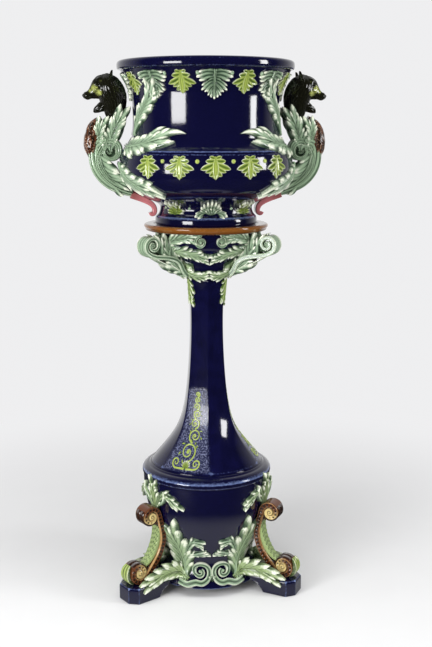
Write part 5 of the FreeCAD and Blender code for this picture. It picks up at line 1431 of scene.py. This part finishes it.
class JARDINIERE_OT_drum(Maker):
    """The drum: stepped top ring, tapering wall and a flared apron arched beside each foot."""

    bl_idname = "jardiniere.drum"
    bl_label = "Drum"

    def make(self, finish, relief):
        # The third column paints the top ring's edges pale: painted highlights as well as glaze running thinner.
        outer = [(98, 286, 0), (126, 286, 0), (128, 286, 0.3), (130, 281.6, 0.1), (134, 282, 0.35), (139, 279, 0.15), (143, 275.4, 0.5),
                 (145.6, 271.6, 0.75), (146, 268, 0.1), (146, 264.6, 0.3), (145, 262, 0.6), (143.5, 260.6, 0.1)]
        outer = resample(outer + run_down(DRUM, drum_radius, 258, 46, 100), 1.8, 2)
        segments = 360
        a = np.linspace(0, 2 * math.pi, segments, endpoint=False)[:, None]
        low = np.full_like(a, 22.0)
        for face in (0.0, 120.0, 240.0):
            for side in (1.0, -1.0):
                turned_by = np.angle(np.exp(1j * (a - math.radians(face + side * 29.0))))
                y = 124.0 * np.sin(turned_by)
                arch = -6.0 + np.sqrt(np.maximum(34.0**2 - y**2, 0.0))
                low = np.where((np.abs(turned_by) < 1.0) & (arch > low), arch, low)
        share = np.linspace(0, 1, 24)
        z_low = low + (45.0 - low) * (1 - share)
        r_low = drum_radius(z_low)
        z_in = np.linspace(0, 1, 16)
        z_inner = low + (272.0 - low) * z_in
        r_inner = drum_radius(np.minimum(z_inner, 258.0)) - 11.0
        count = len(outer)
        r = np.concatenate([np.repeat(outer[:, 0][None], segments, 0), r_low, r_inner], axis=1)
        z = np.concatenate([np.repeat(outer[:, 1][None], segments, 0), z_low, z_inner], axis=1)
        # The pale line along the apron's bottom edge is a painted highlight.
        edge = np.concatenate([np.repeat(outer[:, 2][None], segments, 0), np.exp(-(((z_low - low) / 1.6) ** 2)) * 0.75, 0 * z_inner], axis=1)
        points = np.stack([r * np.sin(a), -r * np.cos(a), z], axis=-1)
        shells = Shells()
        shells.add(points, 0.0, edge, 0.0, ring=True)
        shells.piece("drum_glazed", "stand", finish["cobalt"], "cobalt_glaze", "drum")


class JARDINIERE_OT_blocks(Maker):
    """The plinth blocks, cut off at their outer corners, with softened edges painted pale: painted highlights as well
    as the blue running thinner there.
    """

    bl_idname = "jardiniere.blocks"
    bl_label = "Foot blocks"

    def make(self, finish, relief):
        outline = np.array([(100, -29), (209, -36), (226, -19), (226, 19), (209, 36), (100, 29), (100, -29)], float)
        t = np.concatenate([[0], np.cumsum(np.linalg.norm(np.diff(outline, axis=0), axis=1))])
        marks = np.sort(np.concatenate([t[1:-1] - 1.2, t[1:-1] + 1.2, np.linspace(0.5, t[-1] - 0.5, 90)]))
        plan = np.stack([np.interp(marks, t, outline[:, c]) for c in range(2)], axis=1)
        corner = np.min(np.abs(marks[:, None] - t[None, 1:5]), axis=1)
        # Pale paint along the upright corner edges: painted highlights.
        arris_highlight = np.clip(1.3 - corner / 3.0, 0, 1) * (plan[:, 0] > 150)
        inset = np.array([33, 24.0, 15, 8, 3, 1.2, 0.2, 0, 0, 0, 0, 0, 0.15, 1.3, 2.6, 3.4, 5.0, 12.0, 24.0])
        height = np.array([0.05, 0.05, 0.05, 0.05, 0.05, 0.1, 1.0, 3.0, 9, 16, 23, 30, 32.6, 34.4, 35.6, 36, 36, 36, 36])
        # Pale bands by the bottom and top edges: painted highlights as well as the blue running thinner.
        paint = np.array([0, 0, 0, 0, 0, 0.2, 0.1, 0, 0, 0, 0, 0, 0.1, 0.5, 0.4, 0.1, 0, 0, 0])
        x = 150.0 + (plan[:, 0] - 150.0) * (1.0 - inset[:, None] / 76.0)
        y = plan[:, 1] * (1.0 - inset[:, None] / 36.0)
        arch = np.sqrt(np.maximum(34.0**2 - (x - 120.0) ** 2, 0.0)) - 10.0
        z = np.maximum(height[:, None], np.minimum(arch, 24.0))
        one = Shells()
        one.add(np.stack([x, y, z], axis=-1), 0.0, np.clip(paint[:, None] * (plan[:, 0] > 120) + arris_highlight * 0.45, 0, 1))
        for name, azimuth in FEET.items():
            one.turned([azimuth]).piece("foot_block_glazed_" + name, "stand", finish["cobalt"], "cobalt_glaze", "foot_block_" + name)


def leg_line():
    """The C-scroll's centre line, upper volute to lower volute, and its thickness."""
    upper = spiral((162.0, 186.0), 180.0, -520.0, 20.5, 4.0, 16)[::-1]
    lower = spiral((194.0, 63.0), -90.0, 520.0, 20.5, 4.0, 16)
    waist = [(134.5, 158.0), (131.0, 132.0), (140.0, 98.0), (163.0, 65.0)]
    path = smooth_through(np.concatenate([upper, waist, lower]), 420)
    run = np.linspace(0, 1, 420)
    edge = np.minimum(run, 1.0 - run)
    return path, (5.0 + 8.0 * np.minimum(1.0, edge / 0.3)) / 2, edge


class JARDINIERE_OT_legs(Maker):
    """The brown scroll legs with raised borders, carved marks between them and snail-shell eyes."""

    bl_idname = "jardiniere.legs"
    bl_label = "Scroll legs"

    def make(self, finish, relief):
        path, thick, end = leg_line()
        run = np.concatenate([[0], np.cumsum(np.linalg.norm(np.diff(path, axis=0), axis=1))])[:, None]

        def carving(a, b, face, s):
            side = (face == 1) | (face == 3)
            across = np.abs(np.where(side, b, a))
            rim = np.exp(-(((across - 0.84) / 0.13) ** 2))
            beat = ease(-0.15, 0.25, np.sin(run / 8.6 * 2 * math.pi)) * ease(0.62, 0.42, across)
            mark = beat * (face != 2) * ease(0.05, 0.12, end)[:, None]
            # Raised borders paled to tan: thinner glaze and painted highlights; carved marks darkened: pooled glaze and
            # painted shade.
            return 1.15 * rim * (face != 2) - 1.1 * mark, mark, rim * (face != 2) * 0.95

        one = Shells()
        strap(one, path, thick, 19.0, carving, ease(0.17, 0.09, end)[:, None])
        for side in (1.0, -1.0):
            for (x, z), start in (((162.0, 186.0), 0.6), ((194.0, 63.0), 3.6)):
                button(one, (x, z, 15.5), side, 9.0, 5.5, 1.0, start)
                r = np.linspace(0.2, 1.0, 6)[:, None] * 21.0
                t = np.linspace(0, 2 * math.pi, 36, endpoint=False)
                points = np.stack([x + r * np.cos(t), side * 14.5 + 0 * r * t, z + r * np.sin(t)], axis=-1)
                one.add(np.concatenate([points, points[-1:] * [1, 0, 1]]), 0.9, 0.0, 0.0)
        for name, azimuth in FEET.items():
            one.turned([azimuth]).piece("leg_scroll_glazed_" + name, "stand", finish["brown"], "brown_glaze", "leg_scroll_" + name)


class JARDINIERE_OT_leg_leaves(Maker):
    """The stippled leaf in each leg's hollow and the leaf that hugs the outside of the lower volute."""

    bl_idname = "jardiniere.leg_leaves"
    bl_label = "Leg leaves"

    def make(self, finish, relief):
        one = Shells()
        hollow = smooth_through([(139, 158), (140, 132), (150, 102), (172, 76), (182, 71)], 60)
        share = np.linspace(0, 1, 60)

        def scales(a, b, face, s):
            dimples = np.sin(s * 60.0 + np.abs(a) * 5.0) * np.cos(a * 8.0)
            return 1.2 * dimples * (face != 3), np.clip(-dimples, 0, 1), np.clip(dimples - 0.5, 0, 1) * 0.8

        strap(one, hollow, 5.0 * np.sin(math.pi * (0.1 + 0.8 * share)), 15.0 - 3.0 * share, scales, 0.55)
        toe = smooth_through(spiral((194.0, 63.0), -64.0, 108.0, 27.4, 27.4, 8), 50)
        share = np.linspace(0, 1, 50)

        def leafy(a, b, face, s):
            wave = np.cos(a * math.pi * 3.0)
            rim = np.exp(-(((np.abs(a) - 0.88) / 0.14) ** 2))
            return 0.9 * wave + 0.6 * rim, np.clip(-wave, 0, 1) * 0.9, rim * 0.6 + 0.3 * (wave > 0.8)

        strap(one, toe, 3.6 * np.sin(math.pi * (0.12 + 0.8 * share)), 15.5 * np.sin(math.pi * (0.2 + 0.62 * share)) ** 0.6, leafy, 0.8)
        for name, azimuth in FEET.items():
            one.turned([azimuth]).piece("leg_leaf_modelled_" + name, "stand", finish["leaf"], "mint_glaze", "leg_leaf_" + name)


class JARDINIERE_OT_shoulder_leaves(Maker):
    """The three-branched leaf on the drum over each leg."""

    bl_idname = "jardiniere.shoulder_leaves"
    bl_label = "Shoulder leaves"

    def make(self, finish, relief):
        rise = relief.leaf_rise * 1000
        drum = round_depth(drum_radius)
        one = Shells()
        acanthus(one, [(0, 192), (4, 222), (-2, 240), (0, 258)], 22.0, 2, rise * 1.1, drum, seed=3, tint=0.4, taper=0.3, wide=1.3)
        for side in (1.0, -1.0):
            spine = [(side * 4, 196), (side * 26, 262), (side * 46, 238), (side * 68, 214)]
            acanthus(one, spine, 16.0, 2, rise * 1.3, drum, seed=8, tint=0.25, taper=0.3, spread=44.0, wide=1.5)
            strokes(one, [([(side * 2, 200), (side * 20, 216), (side * 40, 218), (side * 36, 248)], 5.5)], rise * 1.3, drum)
        for name, azimuth in FEET.items():
            one.turned([azimuth]).piece("shoulder_leaf_modelled_" + name, "stand", finish["leaf"], "mint_glaze", "shoulder_leaf_" + name)


class JARDINIERE_OT_base_leaves(Maker):
    """On each face of the base: two big scrolls with hooked leaves, tall leaves and sprays to the feet."""

    bl_idname = "jardiniere.base_leaves"
    bl_label = "Base leaves"

    def make(self, finish, relief):
        rise = relief.leaf_rise * 1000
        drum = round_depth(drum_radius)
        scrolls, leaves, sprays = Shells(), Shells(), Shells()
        line = smooth_through(np.concatenate([[(70.0, 33.0), (52.0, 29.0)], spiral((24.5, 56.0), -66.0, -520.0, 24.0, 4.0, 24)]), 170)
        share = np.linspace(0, 1, 170)
        cord_on(scrolls, line, 7.2 - 3.4 * share, rise * 1.2 + 1.5 * share, drum, 90.0, 0.55, 0.0, 1.0, 1.0)
        bead(scrolls, 24.5, 56.0, 4.0, rise * 1.5, drum)
        for spine, seed, half in (([(54, 40), (62, 128), (44, 150), (18, 120)], 2, 15.0), ([(52, 44), (66, 108), (40, 96), (7, 103)], 4, 12.0)):
            acanthus(scrolls, spine, half, 2, rise, drum, seed=seed, spread=54.0, taper=0.3, wide=0.8)
        acanthus(leaves, [(60, 32), (50, 88), (78, 120), (92, 162)], 32.0, 4, rise * 1.15, drum, tint=0.2, seed=6, taper=0.3)
        acanthus(sprays, [(50, 40), (76, 62), (108, 62), (144, 40)], 28.0, 5, rise * 1.15, foot_depth, seed=9, tint=0.45, spread=48.0, taper=0.3)
        hands(scrolls, [(0.0, 36.0)], math.pi / 2, 14.0, math.radians(110), 3, rise, drum)
        for name, azimuth in FACES.items():
            scrolls.turned([azimuth], True).piece("base_scrolls_modelled_" + name, "stand", finish["leaf"], "mint_glaze", "base_scrolls_" + name)
            leaves.turned([azimuth], True).piece("base_leaves_modelled_" + name, "stand", finish["leaf"], "mint_glaze", "base_leaves_" + name)
            sprays.turned([azimuth], True).piece("foot_leaves_modelled_" + name, "stand", finish["leaf"], "mint_glaze", "foot_leaves_" + name)


# ---- panel and run ----------------------------------------------------------------------------------

STEPS = (
    JARDINIERE_OT_studio,
    JARDINIERE_OT_bowl,
    JARDINIERE_OT_rim_sprigs,
    JARDINIERE_OT_belly_sprigs,
    JARDINIERE_OT_handle_scrolls,
    JARDINIERE_OT_bears,
    JARDINIERE_OT_collars,
    JARDINIERE_OT_handle_leaves,
    JARDINIERE_OT_brackets,
    JARDINIERE_OT_top_plate,
    JARDINIERE_OT_capital,
    JARDINIERE_OT_capital_leaves,
    JARDINIERE_OT_shaft,
    JARDINIERE_OT_drum,
    JARDINIERE_OT_blocks,
    JARDINIERE_OT_legs,
    JARDINIERE_OT_leg_leaves,
    JARDINIERE_OT_shoulder_leaves,
    JARDINIERE_OT_base_leaves,
)


class JARDINIERE_PT_steps(bpy.types.Panel):
    """Lists the steps and the settings that they read."""

    bl_idname = "JARDINIERE_PT_steps"
    bl_label = "Jardiniere on stand"
    bl_space_type = "VIEW_3D"
    bl_region_type = "UI"
    bl_category = "Jardiniere"

    def draw(self, context):
        for step in STEPS:
            self.layout.operator(step.bl_idname)
        for group in (context.scene.jardiniere_relief, context.scene.jardiniere_studio, context.scene.jardiniere_colours):
            for name in group.bl_rna.properties.keys():
                if name not in ("name", "rna_type"):
                    self.layout.prop(group, name)


CLASSES = (GlazeColours, ReliefSizes, StudioLevels, *STEPS, JARDINIERE_PT_steps)


def register():
    for item in CLASSES:
        bpy.utils.register_class(item)
    bpy.types.Scene.jardiniere_colours = bpy.props.PointerProperty(type=GlazeColours)
    bpy.types.Scene.jardiniere_relief = bpy.props.PointerProperty(type=ReliefSizes)
    bpy.types.Scene.jardiniere_studio = bpy.props.PointerProperty(type=StudioLevels)


def unregister():
    del bpy.types.Scene.jardiniere_studio
    del bpy.types.Scene.jardiniere_relief
    del bpy.types.Scene.jardiniere_colours
    for item in reversed(CLASSES):
        bpy.utils.unregister_class(item)


def main():
    register()
    for step in STEPS:
        group, name = step.bl_idname.split(".")
        getattr(getattr(bpy.ops, group), name)()
    for node, made in NODES.items():
        if not made.hide_render:
            raise RuntimeError("still plain: " + node)


if __name__ == "__main__":
    main()
